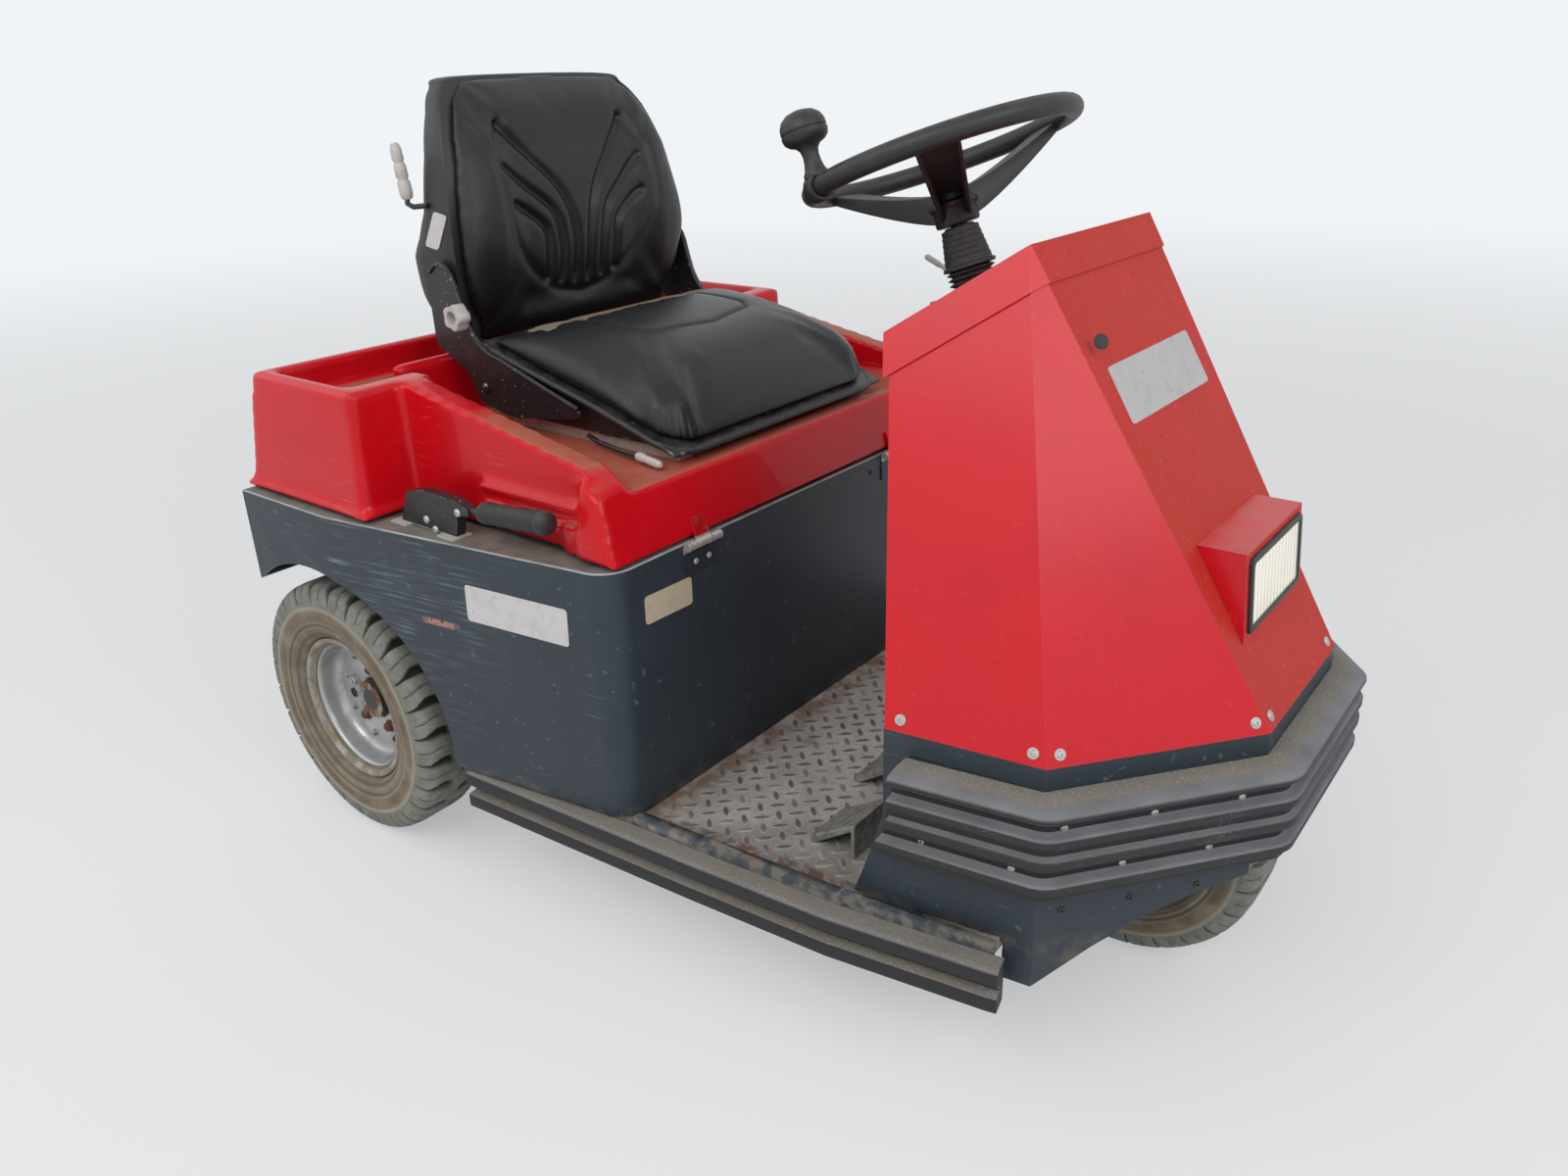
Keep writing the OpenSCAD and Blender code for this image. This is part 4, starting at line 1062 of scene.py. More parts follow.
def puffed(mesh, most, held):
    """Blows a pad up as cloth. held(point) keeps points in place, and no point
    moves further than most millimetres."""
    mesh = applied(mesh, "Even mesh", "REMESH", mode="VOXEL", voxel_size=VOXEL * MM)
    piece = bpy.data.objects.new("Pad", mesh)
    scene.collection.objects.link(piece)
    group = piece.vertex_groups.new(name="Held")
    group.add([v.index for v in mesh.vertices if held(v.co)], 1, "REPLACE")
    cloth = piece.modifiers.new("Cloth", "CLOTH")
    cloth.settings.use_pressure = True
    cloth.settings.uniform_pressure_force = 4
    cloth.settings.effector_weights.gravity = 0
    cloth.settings.vertex_group_mass = group.name
    for number in range(1, 21):
        scene.frame_set(number)
    blown = evaluated(piece)
    bpy.data.objects.remove(piece)
    scene.frame_set(1)
    for point, moved in zip(mesh.vertices, blown.vertices):
        way = moved.co - point.co
        if way.length > 1e-7:
            point.co += way.normalized() * most * MM * math.tanh(way.length / (most * MM))
    mesh = applied(mesh, "Calm", "SMOOTH", factor=0.5, iterations=12)
    return applied(mesh, "Finer mesh", "SUBSURF", levels=1, render_levels=1)


def gap_to_line(x, y, line):
    """Distance from a point to a line through several points, all flat."""
    best = 1e9
    for (ax, ay), (bx, by) in zip(line, line[1:]):
        dx, dy = bx - ax, by - ay
        t = min(max(((x - ax) * dx + (y - ay) * dy) / (dx * dx + dy * dy), 0), 1)
        best = min(best, math.hypot(x - ax - t * dx, y - ay - t * dy))
    return best


def swept_strip(name, profile, route, start_x=None):
    """A strip along a plan route of points in millimetres, rounded at its bends.
    profile gives how far out and how high each point lies; start_x(z) sets the
    ends' X."""
    rings = []
    n = len(route)
    sides = []
    for (ax, ay), (bx, by) in zip(route, route[1:]):
        sides.append(Vector((by - ay, ax - bx)).normalized())
    for k, (x, y) in enumerate(route):
        first, last = sides[max(k - 1, 0)], sides[min(k, n - 2)]
        bend = first.angle_signed(last) if 0 < k < n - 1 else 0
        fan = max(1, round(abs(bend) / math.radians(6)))
        for i in range(fan + 1 if bend else 1):
            out = first.copy()
            out.rotate(Matrix.Rotation(-bend * i / fan, 2))
            ring = []
            for o, z in profile:
                px = x + out.x * o
                if start_x and k in (0, n - 1):
                    px = start_x(z)
                ring.append(at(px, y + out.y * o, z))
            rings.append(ring)
    mesh = lofted(name, rings)
    sharp_and_smooth(mesh, 40)
    return mesh


# Lid


def moulded_lid():
    """The lid as one soft-edged moulding: its outside is remeshed and smoothed,
    then given its thickness again."""
    bm = merged_copy("lid")
    foot = LID_FOOT * MM
    bmesh.ops.delete(
        bm,
        geom=[f for f in bm.faces if f.normal.z < -0.99 and f.calc_center_median().z < foot + MM],
        context="FACES",
    )
    outside = {max(bm.verts, key=lambda v: v.co.z)}
    front = list(outside)
    while front:
        front = [e.other_vert(v) for v in front for e in v.link_edges]
        front = [v for v in front if v not in outside]
        outside.update(front)
    bmesh.ops.delete(bm, geom=[v for v in bm.verts if v not in outside], context="VERTS")
    edge = [e for e in bm.edges if len(e.link_faces) == 1]
    bmesh.ops.triangle_fill(bm, use_beauty=True, use_dissolve=False, edges=edge)
    mesh = bpy.data.meshes.new("Lid")
    bm.to_mesh(mesh)
    bm.free()
    closed_up(mesh)
    mesh = applied(mesh, "Even mesh", "REMESH", mode="VOXEL", voxel_size=VOXEL * MM)
    mesh = applied(mesh, "Soft edges", "SMOOTH", factor=0.5, iterations=LID_SMOOTHING)
    bm = bmesh.new()
    bm.from_mesh(mesh)
    low = [f for f in bm.faces if f.normal.z < -0.5 and f.calc_center_median().z < foot + 5 * MM]
    bmesh.ops.delete(bm, geom=low, context="FACES")
    bm.to_mesh(mesh)
    bm.free()
    wall = 5
    mesh = applied(mesh, "Wall", "SOLIDIFY", thickness=wall * MM, offset=-1)
    mesh.shade_smooth()
    finish_piece("Lid", mesh, "lid", moulding, ["lid"])


# Seat

SEAT_FRONT, SEAT_REAR, SEAT_HALF = 510, 135, 240
# Lower edge and crown of the seat cushion by distance from the rear axle
PAN_EDGE = [(135, 755), (240, 725), (352, 696), (446, 668), (510, 646)]
SEAT_CROWN = [(135, 762), (180, 772), (240, 774), (320, 764), (430, 744), (488, 726), (510, 708)]
# Inset and share of the height of the seat cushion's rings
SEAT_RINGS = [(14, 0), (6, 0.06), (4, 0.3), (6, 0.55), (16, 0.78), (34, 0.93), (62, 1.0), (110, 1.03)]
# Seam round the cushion's middle panel: from the rear axle, across
SEAT_PANEL = [(150, -128), (330, -122), (352, -104), (372, 0), (352, 104), (330, 122), (150, 128)]


def rounded_plan(rear, front, half, rear_radius, front_radius):
    """Plan outline of a seat, point by point, anticlockwise from its rear right."""
    spacing = 14
    made = []
    corners = [
        (rear, -half, rear_radius, 180),
        (front, -half, front_radius, 270),
        (front, half, front_radius, 0),
        (rear, half, rear_radius, 90),
    ]
    for x, y, r, start in corners:
        cx = x + r if x == rear else x - r
        cy = y + r if y < 0 else y - r
        for i in range(10):
            a = math.radians(start + 10 * i)
            made.append((cx + r * math.cos(a), cy + r * math.sin(a)))
    plan = []
    for (ax, ay), (bx, by) in zip(made, made[1:] + made[:1]):
        parts = max(1, round(math.hypot(bx - ax, by - ay) / spacing))
        plan += [(ax + (bx - ax) * i / parts, ay + (by - ay) * i / parts) for i in range(parts)]
    return plan


def seat_cushion():
    """Crowned vinyl cushion with a sewn middle panel and pleats at its front corners."""
    rings = []
    plan = rounded_plan(SEAT_REAR, SEAT_FRONT, SEAT_HALF, 30, 52)
    middle = (SEAT_REAR + SEAT_FRONT) / 2
    half_long = 187
    for inset, share in SEAT_RINGS:
        ring = []
        for x, y in plan:
            x = middle + (x - middle) * (1 - inset / half_long)
            y *= 1 - inset / SEAT_HALF
            low = from_table(PAN_EDGE, x) + 1
            ring.append(at(x, y, low + share * (from_table(SEAT_CROWN, x) - 4 - low)))
        rings.append(ring)
    mesh = lofted("Seat cushion", rings)
    mesh = puffed(mesh, 20, lambda p: p.z / MM < from_table(PAN_EDGE, (p.x - REAR_AXLE) / MM) + 6)
    seam_width, dip_width = 4.5, 14
    seams, bare = [], []
    for point, normal in zip(mesh.vertices, [n.vector.copy() for n in mesh.vertex_normals]):
        x, y, z = (point.co.x - REAR_AXLE) / MM, point.co.y / MM, point.co.z / MM
        near = gap_to_line(x, y, SEAT_PANEL)
        on_top = 1 if normal.z > 0.4 else 0
        sewn = on_top * math.exp(-((near / seam_width) ** 2))
        deep = 2.6 * sewn + 1.5 * on_top * math.exp(-((near / dip_width) ** 2))
        # Pleats round the front corners, and fine creases on the top beside them
        corner = ease(x, 430, 490) * ease(abs(y), 150, 225)
        low = 1 - ease(z - from_table(PAN_EDGE, x), 12, 62)
        pleat = math.sin(math.atan2(abs(y) - 188, x - 458) * 26) * 0.8 * corner * low
        crease = math.sin((x * 0.8 + abs(y) * 0.45) / 6.5) * 0.3 * ease(abs(y), 60, 120)
        crease *= ease(x, 330, 400) * (1 - ease(x, 430, 480)) * max(normal.z, 0)
        point.co -= normal * (deep + pleat + crease) * MM
        seams.append(sewn)
        # The bare place lies across the cushion, just before the backrest
        strip = ease(x, 172, 212) * (1 - ease(x, 200, 262))
        bare.append(strip * (1 - ease(abs(y + 10), 165, 225)))
    keep_values(mesh, "seam", seams)
    keep_values(mesh, "bare", bare)
    mesh.shade_smooth()
    finish_piece("Seat_Cushion", mesh, "lid", leather, ["seat_cushion"])


# Backrest: height, front, seam behind the cushion, cushion's half width, shell's
# rear and half width
BACK_LINE = [
    (736, 96, 76, 165, 2, 178),
    (766, 106, 80, 198, -6, 210),
    (803, 118, 86, 220, -8, 230),
    (862, 130, 98, 231, -6, 239),
    (891, 131, 98, 231, 12, 239),
    (928, 126, 94, 228, 30, 237),
    (1002, 112, 84, 214, 32, 224),
    (1058, 92, 64, 194, 22, 204),
    (1091, 70, 44, 166, 6, 180),
    (1106, 50, 34, 120, -2, 138),
]
BACK_MIDDLE = 918
# Inset and share of the depth of the cushion's rings
BACK_RINGS = [(10, 0), (3, 0.12), (2, 0.4), (6, 0.66), (18, 0.86), (40, 0.97), (70, 1.0)]
# Pressed channels in one half of the backrest, mirrored on the other: across, height
BACK_CHANNELS = [
    [(125, 1040), (85, 998), (45, 957), (24, 920), (15, 870), (14, 805)],
    [(138, 984), (100, 953), (60, 920), (47, 887), (42, 850), (43, 811)],
    [(130, 932), (96, 911), (75, 889), (71, 855), (70, 818)],
]
# The seam round them, in the same way
BACK_FRAME = [(122, 1046), (147, 1001), (152, 946), (143, 891), (118, 851), (86, 820), (45, 797),
              (0, 787)]
# Inset and share of the depth of the shell's rings
SHELL_RINGS = [(2.5, 0), (0.5, 0.05), (0, 0.3), (0, 0.7), (2, 0.88), (7, 0.97), (16, 1), (40, 1),
               (80, 1), (130, 1)]


def back_rings(rings, half, face):
    """Rings of the backrest from its seam to a face: half and face are columns of
    BACK_LINE, rings give the inset and the share of the depth."""
    outline = [(row[half], row[0]) for row in BACK_LINE]
    outline += [(-y, z) for y, z in reversed(outline)]
    outline = [tuple(p) for p in curve_through(outline, 5, closed=True)]
    made = []
    for inset, share in rings:
        ring = []
        for y, z in outline:
            k = 1 - inset / math.hypot(y, z - BACK_MIDDLE)
            y, z = y * k, BACK_MIDDLE + (z - BACK_MIDDLE) * k
            end, seam = from_table(BACK_LINE, z, face), from_table(BACK_LINE, z, 2)
            seam += 1 if end > seam else 0
            ring.append(at(seam + share * (end - seam), y, z))
        made.append(ring)
    return made


def back_shell():
    """Moulded shell behind the backrest."""
    mesh = lofted("Back shell", back_rings(SHELL_RINGS, 5, 4))
    sharp_and_smooth(mesh, 60)
    finish_piece("Back_Shell", mesh, "lid", plastic, ["back_shell"])


def back_cushion():
    """Backrest pad with side bolsters, pressed V channels and a seam round them."""
    mesh = lofted("Back cushion", back_rings(BACK_RINGS, 3, 1))
    mesh = puffed(mesh, 11, lambda p: (p.x - REAR_AXLE) / MM < from_table(BACK_LINE, p.z / MM, 2) + 7)
    channels = [curve_through(line, 4) for line in BACK_CHANNELS]
    border = curve_through(BACK_FRAME, 4)
    for point, normal in zip(mesh.vertices, [n.vector.copy() for n in mesh.vertex_normals]):
        if normal.x < 0.3:
            continue
        y, z = abs(point.co.y / MM), point.co.z / MM
        hollow = 17 * (1 - ease(y, 105, 175)) * ease(z, 745, 800) * (1 - ease(z, 1000, 1075))
        pressed = 0
        for line in channels:
            pressed = max(pressed, math.exp(-((gap_to_line(y, z, line) / 6.5) ** 2)))
        ends = ease(z, 788, 822)
        rim = math.exp(-((gap_to_line(y, z, border) / 9) ** 2))
        point.co.x -= (hollow + 7.5 * pressed * ends + 3.5 * rim) * MM
    mesh.shade_smooth()
    finish_piece("Back_Cushion", mesh, "lid", leather, ["back_cushion"])


def seat_piping():
    """Rolled rim that follows the seat pan's edge round its front."""
    plan = rounded_plan(SEAT_REAR + 2, SEAT_FRONT + 1, SEAT_HALF + 2, 30, 50)
    start = min(range(len(plan)), key=lambda i: abs(plan[i][0] - 150) + abs(plan[i][1] + 242))
    plan = plan[start:] + plan[:start]
    last = max(i for i, p in enumerate(plan) if p[0] > 148 and p[1] > 200)
    route = [at(x, y, from_table(PAN_EDGE, x) - 3.5) for x, y in plan[: last + 1]]
    finish_piece("Seat_Piping", tube("Piping", route, 4.6, 10), "lid", plastic)


# Outline of the seat's arms and the line of their rolled edge: from the axle, height
ARM_LINE = [(200, 650), (340, 670), (340, 683), (235, 717), (150, 745), (122, 773), (108, 813),
            (96, 853), (74, 861), (52, 849), (40, 819), (42, 737), (66, 729), (112, 703),
            (124, 665)]
ARM_FLANGE = [(50, 846), (66, 858), (86, 857), (98, 842), (106, 815), (120, 777), (148, 746),
              (196, 730), (262, 708), (338, 684)]


def eased_corners(points, most):
    """Cuts each corner of a closed flat line with a short curve."""
    made = []
    for a, p, b in zip(points[-1:] + points, points, points[1:] + points[:1]):
        a, p, b = Vector(a), Vector(p), Vector(b)
        before = p + (a - p).normalized() * min(most, (a - p).length * 0.45)
        after = p + (b - p).normalized() * min(most, (b - p).length * 0.45)
        for i in range(6):
            t = i / 5
            made.append(before * (1 - t) ** 2 + p * 2 * t * (1 - t) + after * t ** 2)
    return made


def drawn_in(line, inset):
    """The same closed line, anticlockwise, moved inwards."""
    made = []
    for a, p, b in zip(line[-1:] + line, line, line[1:] + line[:1]):
        way = (b - a).normalized()
        made.append(p + Vector((-way.y, way.x)) * inset)
    return made


def seat_arms():
    """Pressed brackets beside the backrest with their rolled edges and pivots."""
    line = eased_corners(ARM_LINE, 16)
    meshes = []
    for side in (1, -1):
        rings = []
        for inset, y in ((1.2, 243.3), (0, 244.5), (0, 247.1), (1.2, 248.3)):
            rings.append([at(p.x, side * y, p.y) for p in drawn_in(line, inset)])
        meshes.append(lofted("Arm", rings))
        edge = [at(x, side * 248.6, z) for x, z in curve_through(ARM_FLANGE, 5)]
        meshes.append(tube("Rolled edge", edge, 3.0, 8))
        turn = Matrix.Rotation(-side * math.pi / 2, 4, "X")
        meshes.append(turned("Pivot", [(0, 0), (12, 0), (12, 4.6), (0, 4.6)],
                             Matrix.Translation(at(70, side * 239.5, 847)) @ turn, 24))
        meshes.append(turned("Pivot end", [(7.5, -1), (7.5, 2.2), (6, 3.4), (0, 3.4)],
                             Matrix.Translation(at(146, side * 248.2, 688)) @ turn, 18))
    mesh = joined("Seat arms", meshes)
    sharp_and_smooth(mesh, 40)
    finish_piece("Seat_Arms", mesh, "lid", chipped, ["seat_arms"])


def star_knob():
    """Five-lobed knob of the backrest's angle, with a round hollow."""
    arm = -(SEAT_HALF + 8.9)
    rings = []
    heights = [(0, 8), (5, 8), (5.5, 15), (8, 18), (24, 18.5), (27, 17), (27.5, 11), (27, 9), (14, 8)]
    for out, radius in heights:
        ring = []
        for i in range(50):
            a = 2 * math.pi * i / 50
            lobe = 0.19 * (0.5 - 0.5 * math.cos(5 * a)) * (1 if radius > 13 else 0)
            r = radius * (1.08 - lobe)
            ring.append(at(122 + r * math.cos(a), arm - out, 791 + r * math.sin(a)))
        rings.append(ring)
    mesh = lofted("Star knob", rings)
    sharp_and_smooth(mesh, 50)
    finish_piece("Star_Knob", mesh, "lid", white, ["seat_knob"])


def seat_levers():
    """Ribbed white grips on black rods: backrest release and seat slide."""
    foot, head = at(19, -246, 948), at(15, -252, 1020)
    ribs = [(0, -2), (6, -2), (8.2, 0), (9.4, 6), (9.4, 21), (7.4, 24.5), (7.4, 26), (9, 29),
            (8.8, 44), (6.8, 47.5), (6.8, 49), (8.4, 52), (8, 65), (6.4, 72), (4, 74.5), (0, 75)]
    grip = turned("Grip", ribs, standing(foot, head - foot), 16)
    slide = at(448, -250, 637)
    tip = turned("Tip", [(0, 0), (5, 0), (6.5, 4), (6.5, 12), (5.5, 16), (5.5, 50), (3, 54), (0, 54)],
                 standing(slide, at(502, -262, 636) - slide), 14)
    finish_piece("Seat_Grips", joined("Grips", [grip, tip]), "lid", white, ["seat_levers"])
    back_rod = [(19, -246, 950), (20, -248, 940), (32, -247, 936), (52, -238, 938)]
    slide_rod = [(330, -226, 640), (360, -236, 638), (410, -246, 637), (452, -251, 637)]
    rods = [tube("Rod", [at(*p) for p in route], r) for route, r in ((back_rod, 4), (slide_rod, 3.5))]
    finish_piece("Seat_Rods", joined("Rods", rods), "lid", black)


# Wheels

# Half section of the tyre: half width, radius
TYRE_LINE = [
    (34, 103), (36.5, 118.5), (41, 121), (45.5, 122.5), (48.5, 126), (50, 131), (50.6, 134),
    (52.6, 136), (52.6, 139), (51.6, 141), (53.6, 146), (54.6, 152), (55, 158), (54.8, 164),
    (54.2, 168.5), (55, 170), (55, 173.5), (53.8, 175.5), (53.8, 179), (53.6, 184), (52.6, 189),
    (51, 194), (48.6, 199), (45.6, 202.6), (41.6, 205), (37, 206.2), (31, 207), (25, 207.4),
    (18, 207.5), (12, 207.5), (6, 207.5), (0, 207.5),
]
TYRE_BEAD = 118.5
# The tread repeats itself this many times round a tyre
LUGS = 26


def scaled_radius(r, outer):
    """The radius r of the rear tyre's section on a tyre of outer radius outer."""
    if r <= TYRE_BEAD:
        return r
    return TYRE_BEAD + (r - TYRE_BEAD) * (outer - TYRE_BEAD) / (REAR_RADIUS - TYRE_BEAD)


def cut_depth(phase, across, radius, side):
    """Depth of the tread's grooves at a place and their darkness, partly painted shade:
    phase along one pitch, across from the middle to the edge, both 0 to 1."""
    pitch = 50
    hook = 0.17 * math.sin(math.pi * min(across, 1)) * (1 if across < 0.95 else 0.97)
    centre = (0.25 if side > 0 else 0.75) + hook
    away = abs((phase - centre + 0.5) % 1 - 0.5) * pitch
    half = 1.6 + 5.2 * (1 - ease(across, 0.55, 0.97))
    groove = ease(half + 1.4 - away, 0, 2.4)
    reach = ease(across, 0.10, 0.17) * ease(radius, 177, 183)
    deep = (3.5 + 6.5 * (1 - ease(across, 0.75, 1.0))) * groove * reach
    sipe = abs((phase - centre) % 1 - 0.5) * pitch
    thin = ease(1.6 - sipe, 0, 1.2) * ease(across, 0.30, 0.36) * ease(radius, 184, 188)
    return deep + 2.0 * thin, max(groove * reach, 0.8 * thin)


def tread_sector(outer):
    """One pitch of the tyre about the Z axis, with its cut on both shoulders."""
    steps = 28
    line = TYRE_LINE + [(-w, r) for w, r in reversed(TYRE_LINE[:-1])]
    points, dark, ring_at = [], [], []
    for i in range(steps + 1):
        phase = i / steps
        angle = 2 * math.pi / LUGS * phase
        for w, r in line:
            deep, groove = cut_depth(phase, abs(w) / 55, r, 1 if w > 0 else -1)
            flat = Vector((scaled_radius(r, outer), w))
            inward = (Vector((scaled_radius(155, outer), w * 0.35)) - flat).normalized()
            flat += inward * deep
            c, s = math.cos(angle), math.sin(angle)
            points.append((flat.x * c * MM, flat.x * s * MM, flat.y * MM))
            dark.append(groove)
            ring_at.append(r)
    n = len(line)
    faces = []
    for i in range(steps):
        for j in range(n):
            k = (j + 1) % n
            faces.append((i * n + j, (i + 1) * n + j, (i + 1) * n + k, i * n + k))
    mesh = bpy.data.meshes.new("Tread sector")
    mesh.from_pydata(points, [], faces)
    keep_values(mesh, "groove", dark)
    keep_values(mesh, "ring", ring_at)
    return mesh


# Section of the rim, all round: radius, height towards the outside
RIM_LINE = [
    (117.5, 38.5), (117.4, 40.8), (115.8, 42), (112.5, 42), (110.2, 40.8), (109, 38), (107.8, 34),
    (104.5, 31.6), (101.6, 30.5), (99.6, 27.5), (98.8, 22), (98.4, 12), (97, 5), (94, 0), (90, -2.6),
    (86, -3.8), (80, -4), (66, -4), (50, -4), (37, -4), (33, -5), (31.3, -7), (31.3, -12), (84, -12),
    (94, -10), (100, -6), (101.5, 0), (101.5, -28), (104, -31), (108, -34), (109.2, -38),
    (110.4, -40.8), (112.6, -42), (116, -42), (117.5, -40.6), (117.5, -38.4), (113, -37.2),
    (110, -33.8), (106, -30.6), (103, -27), (102.6, 0), (103, 27), (106, 30.6), (110, 33.8),
    (113, 37.2),
]


def at_ring(radius, angle, height=0):
    """A point round the Z axis: radius and height in millimetres, angle in radians."""
    return Vector((radius * math.cos(angle), radius * math.sin(angle), height)) * MM


def wheel(name, body, x, y, radius, outer=1):
    """Tyre, rim, nuts and hub of one wheel. outer is 1 where its dish faces -Y."""
    centre = at(x, y, radius)
    axes = Matrix(((1, 0, 0), (0, 0, -outer), (0, outer, 0))).to_4x4()
    place = Matrix.Translation(centre) @ axes
    rubber_ring = wheel_ring.grow(tread_sector(radius), Sectors=LUGS, Finish=tyre.material)
    rubber_ring.transform(place)
    closed_up(rubber_ring)
    sharp_and_smooth(rubber_ring, 50)
    finish_piece("Tyre_" + name, rubber_ring, body, tyre, ["tyre_" + name.lower()])
    metal = turned("Rim", RIM_LINE, place, 72, closed=True)
    keep_values(metal, "ring", [math.hypot(v.co.x - centre.x, v.co.z - centre.z) / MM
                                for v in metal.vertices])
    finish_piece("Rim_" + name, metal, body, rim, ["rim_" + name.lower()])
    out = place.to_3x3() @ Vector((0, 0, 1))

    def on_dish(count, r, start):
        """Places on the rim's dish, count of them round a circle of radius r."""
        angles = [math.radians(start) + 2 * math.pi * i / count for i in range(count)]
        return [(place @ at_ring(r, a, -4), out, a) for a in angles]

    set_parts("Wheel_Nuts_" + name, hex_nut(), on_dish(5, 51, 15), body, rim)
    set_parts("Rim_Bolts_" + name, hex_nut(), on_dish(8, 73, 30), body, rim, 0.55)
    hole = [(0, -3.9), (6.5, -3.9), (6.5, -3.2), (8.5, -3.2), (8.5, -4.2)]
    valve_place = place @ Matrix.Translation(at_ring(62, math.radians(190)))
    finish_piece("Valve_Hole_" + name, turned("Valve hole", hole, valve_place, 20), body, plastic)
    # The front wheel is held in its fork, so only the rear wheels have hub ends
    if body != "front_wheel":
        hub = [(0, 5.6), (12, 5.2), (22, 6.4), (27.5, 7.2), (30.6, 6.6), (30.9, -6)]
        finish_piece("Hub_End_" + name, turned("Hub end", hub, place, 36), body, rusty)


# Rubber bumpers

# Section of the front bumper from the bottom up: out, height
BUMPER_LINE = [
    (0.5, 285), (29, 285), (33, 286.5), (34, 289), (34, 295.5), (36, 297.4), (40.4, 298.4),
    (42, 300.4), (42, 308), (40.6, 310), (37, 311), (31, 312), (29, 314), (29, 319), (30.4, 320.2),
    (31, 321.8), (30.4, 323.4), (29, 324.6), (29, 326), (31, 328), (37, 329), (40.6, 330), (42, 332),
    (42, 341), (40.4, 343.4), (36, 344.2), (34, 345.4), (34, 354.6), (36, 356), (40.4, 357),
    (42, 359), (42, 367), (40.6, 369), (37, 370), (31, 371), (29, 373), (29, 378), (30.4, 379.2),
    (31, 380.8), (30.4, 382.4), (29, 383.6), (29, 385.4), (31, 387.2), (36, 388), (40.4, 389.4),
    (42, 392), (41.4, 395), (38.6, 397.6), (33, 399.8), (26, 401.4), (18, 402.6), (10, 403),
    (0.5, 403),
]
# Section of the side bumpers from the top down: out, height
SILL_LINE = [
    (0.5, 186), (20, 186), (24.6, 185.2), (27.4, 182.6), (28, 179), (28, 166), (26.8, 163.6),
    (24, 162.6), (15.6, 161.6), (14, 160), (14, 156.6), (15.8, 155.4), (16.6, 154), (15.8, 152.6),
    (14, 151.4), (14, 150), (15.6, 148.8), (25, 148.2), (27.4, 147), (28, 145), (28, 130),
    (27, 127.4), (24.4, 126), (0.5, 126),
]
# Plan of the nose's foot and of the right side bumper: from the axle, across
NOSE_ROUTE = [(914, -361), (1098, -335), (1263, -128), (1263, 128), (1098, 335), (914, 361)]
SILL_ROUTE = [(262, -436), (663, -409), (867, -392), (1062, -360), (1075, -357)]
# The floor's half width between the side bumpers: from the axle, half width
SILL_HALF = [(x, -y) for x, y in SILL_ROUTE]


def ribbed(mesh, line):
    """Marks the ribs, the strips that stand furthest out."""
    most = max(out for out, _ in line)
    rows = [z for out, z in line if out > most - 2]
    bands = []
    for z in rows:
        if bands and z - bands[-1][1] < 16:
            bands[-1][1] = z
        else:
            bands.append([z, z])
    keep_values(
        mesh,
        "rib",
        [float(any(a - 1 < v.co.z / MM < b + 1 for a, b in bands)) for v in mesh.vertices],
    )
    return mesh


def along_route(route, spacing, start, out, z):
    """Points and facings every so many millimetres on the outside of a route."""
    places = []
    left = start
    for (ax, ay), (bx, by) in zip(route, route[1:]):
        way = Vector((bx - ax, by - ay))
        long = way.length
        way.normalize()
        side = Vector((way.y, -way.x))
        while left < long:
            x, y = Vector((ax, ay)) + way * left + side * out
            places.append((at(x, y, z), Vector((side.x, side.y, 0)), 0.4 * left))
            left += spacing
        left -= long
    return places


def bumpers():
    """Front bumper and side strips, swept round their bends, with their screws."""

    def front_end(z):
        """Where along the vehicle the ends lie: leaning forwards, and upright above."""
        return NOSE_ROUTE[0][0] + 5 + 24 * min((z - 284) / 60, 1)

    mesh = swept_strip("Front bumper", BUMPER_LINE, NOSE_ROUTE, front_end)
    finish_piece("Front_Bumper", ribbed(mesh, BUMPER_LINE), "chassis", rubber, ["front_bumper"])
    screws = along_route(NOSE_ROUTE, 104, 60, 29, 317) + along_route(NOSE_ROUTE, 104, 92, 29, 375.5)
    for side in (1, -1):
        route = [(x, side * y) for x, y in SILL_ROUTE][:: side]
        mesh = swept_strip("Side bumper", SILL_LINE, route)
        name = "Side_Bumper_Right" if side > 0 else "Side_Bumper_Left"
        node = "sill_right" if side > 0 else "sill_left"
        finish_piece(name, ribbed(mesh, SILL_LINE), "chassis", rubber, [node])
        screws += along_route(route, 96, 40, 14, 158.6)
    set_parts("Bumper_Screws", small_screw(), screws, "chassis", plated)


# Steering

# The steering column's axis, with its origin in the middle of the wheel's rim
COLUMN = Matrix.Translation(at(752, 0, 1006)) @ Matrix.Rotation(math.radians(-20), 4, "Y")


def on_column(x, y, z):
    """A point given in millimetres along the steering column's own axes."""
    return COLUMN @ (Vector((x, y, z)) * MM)


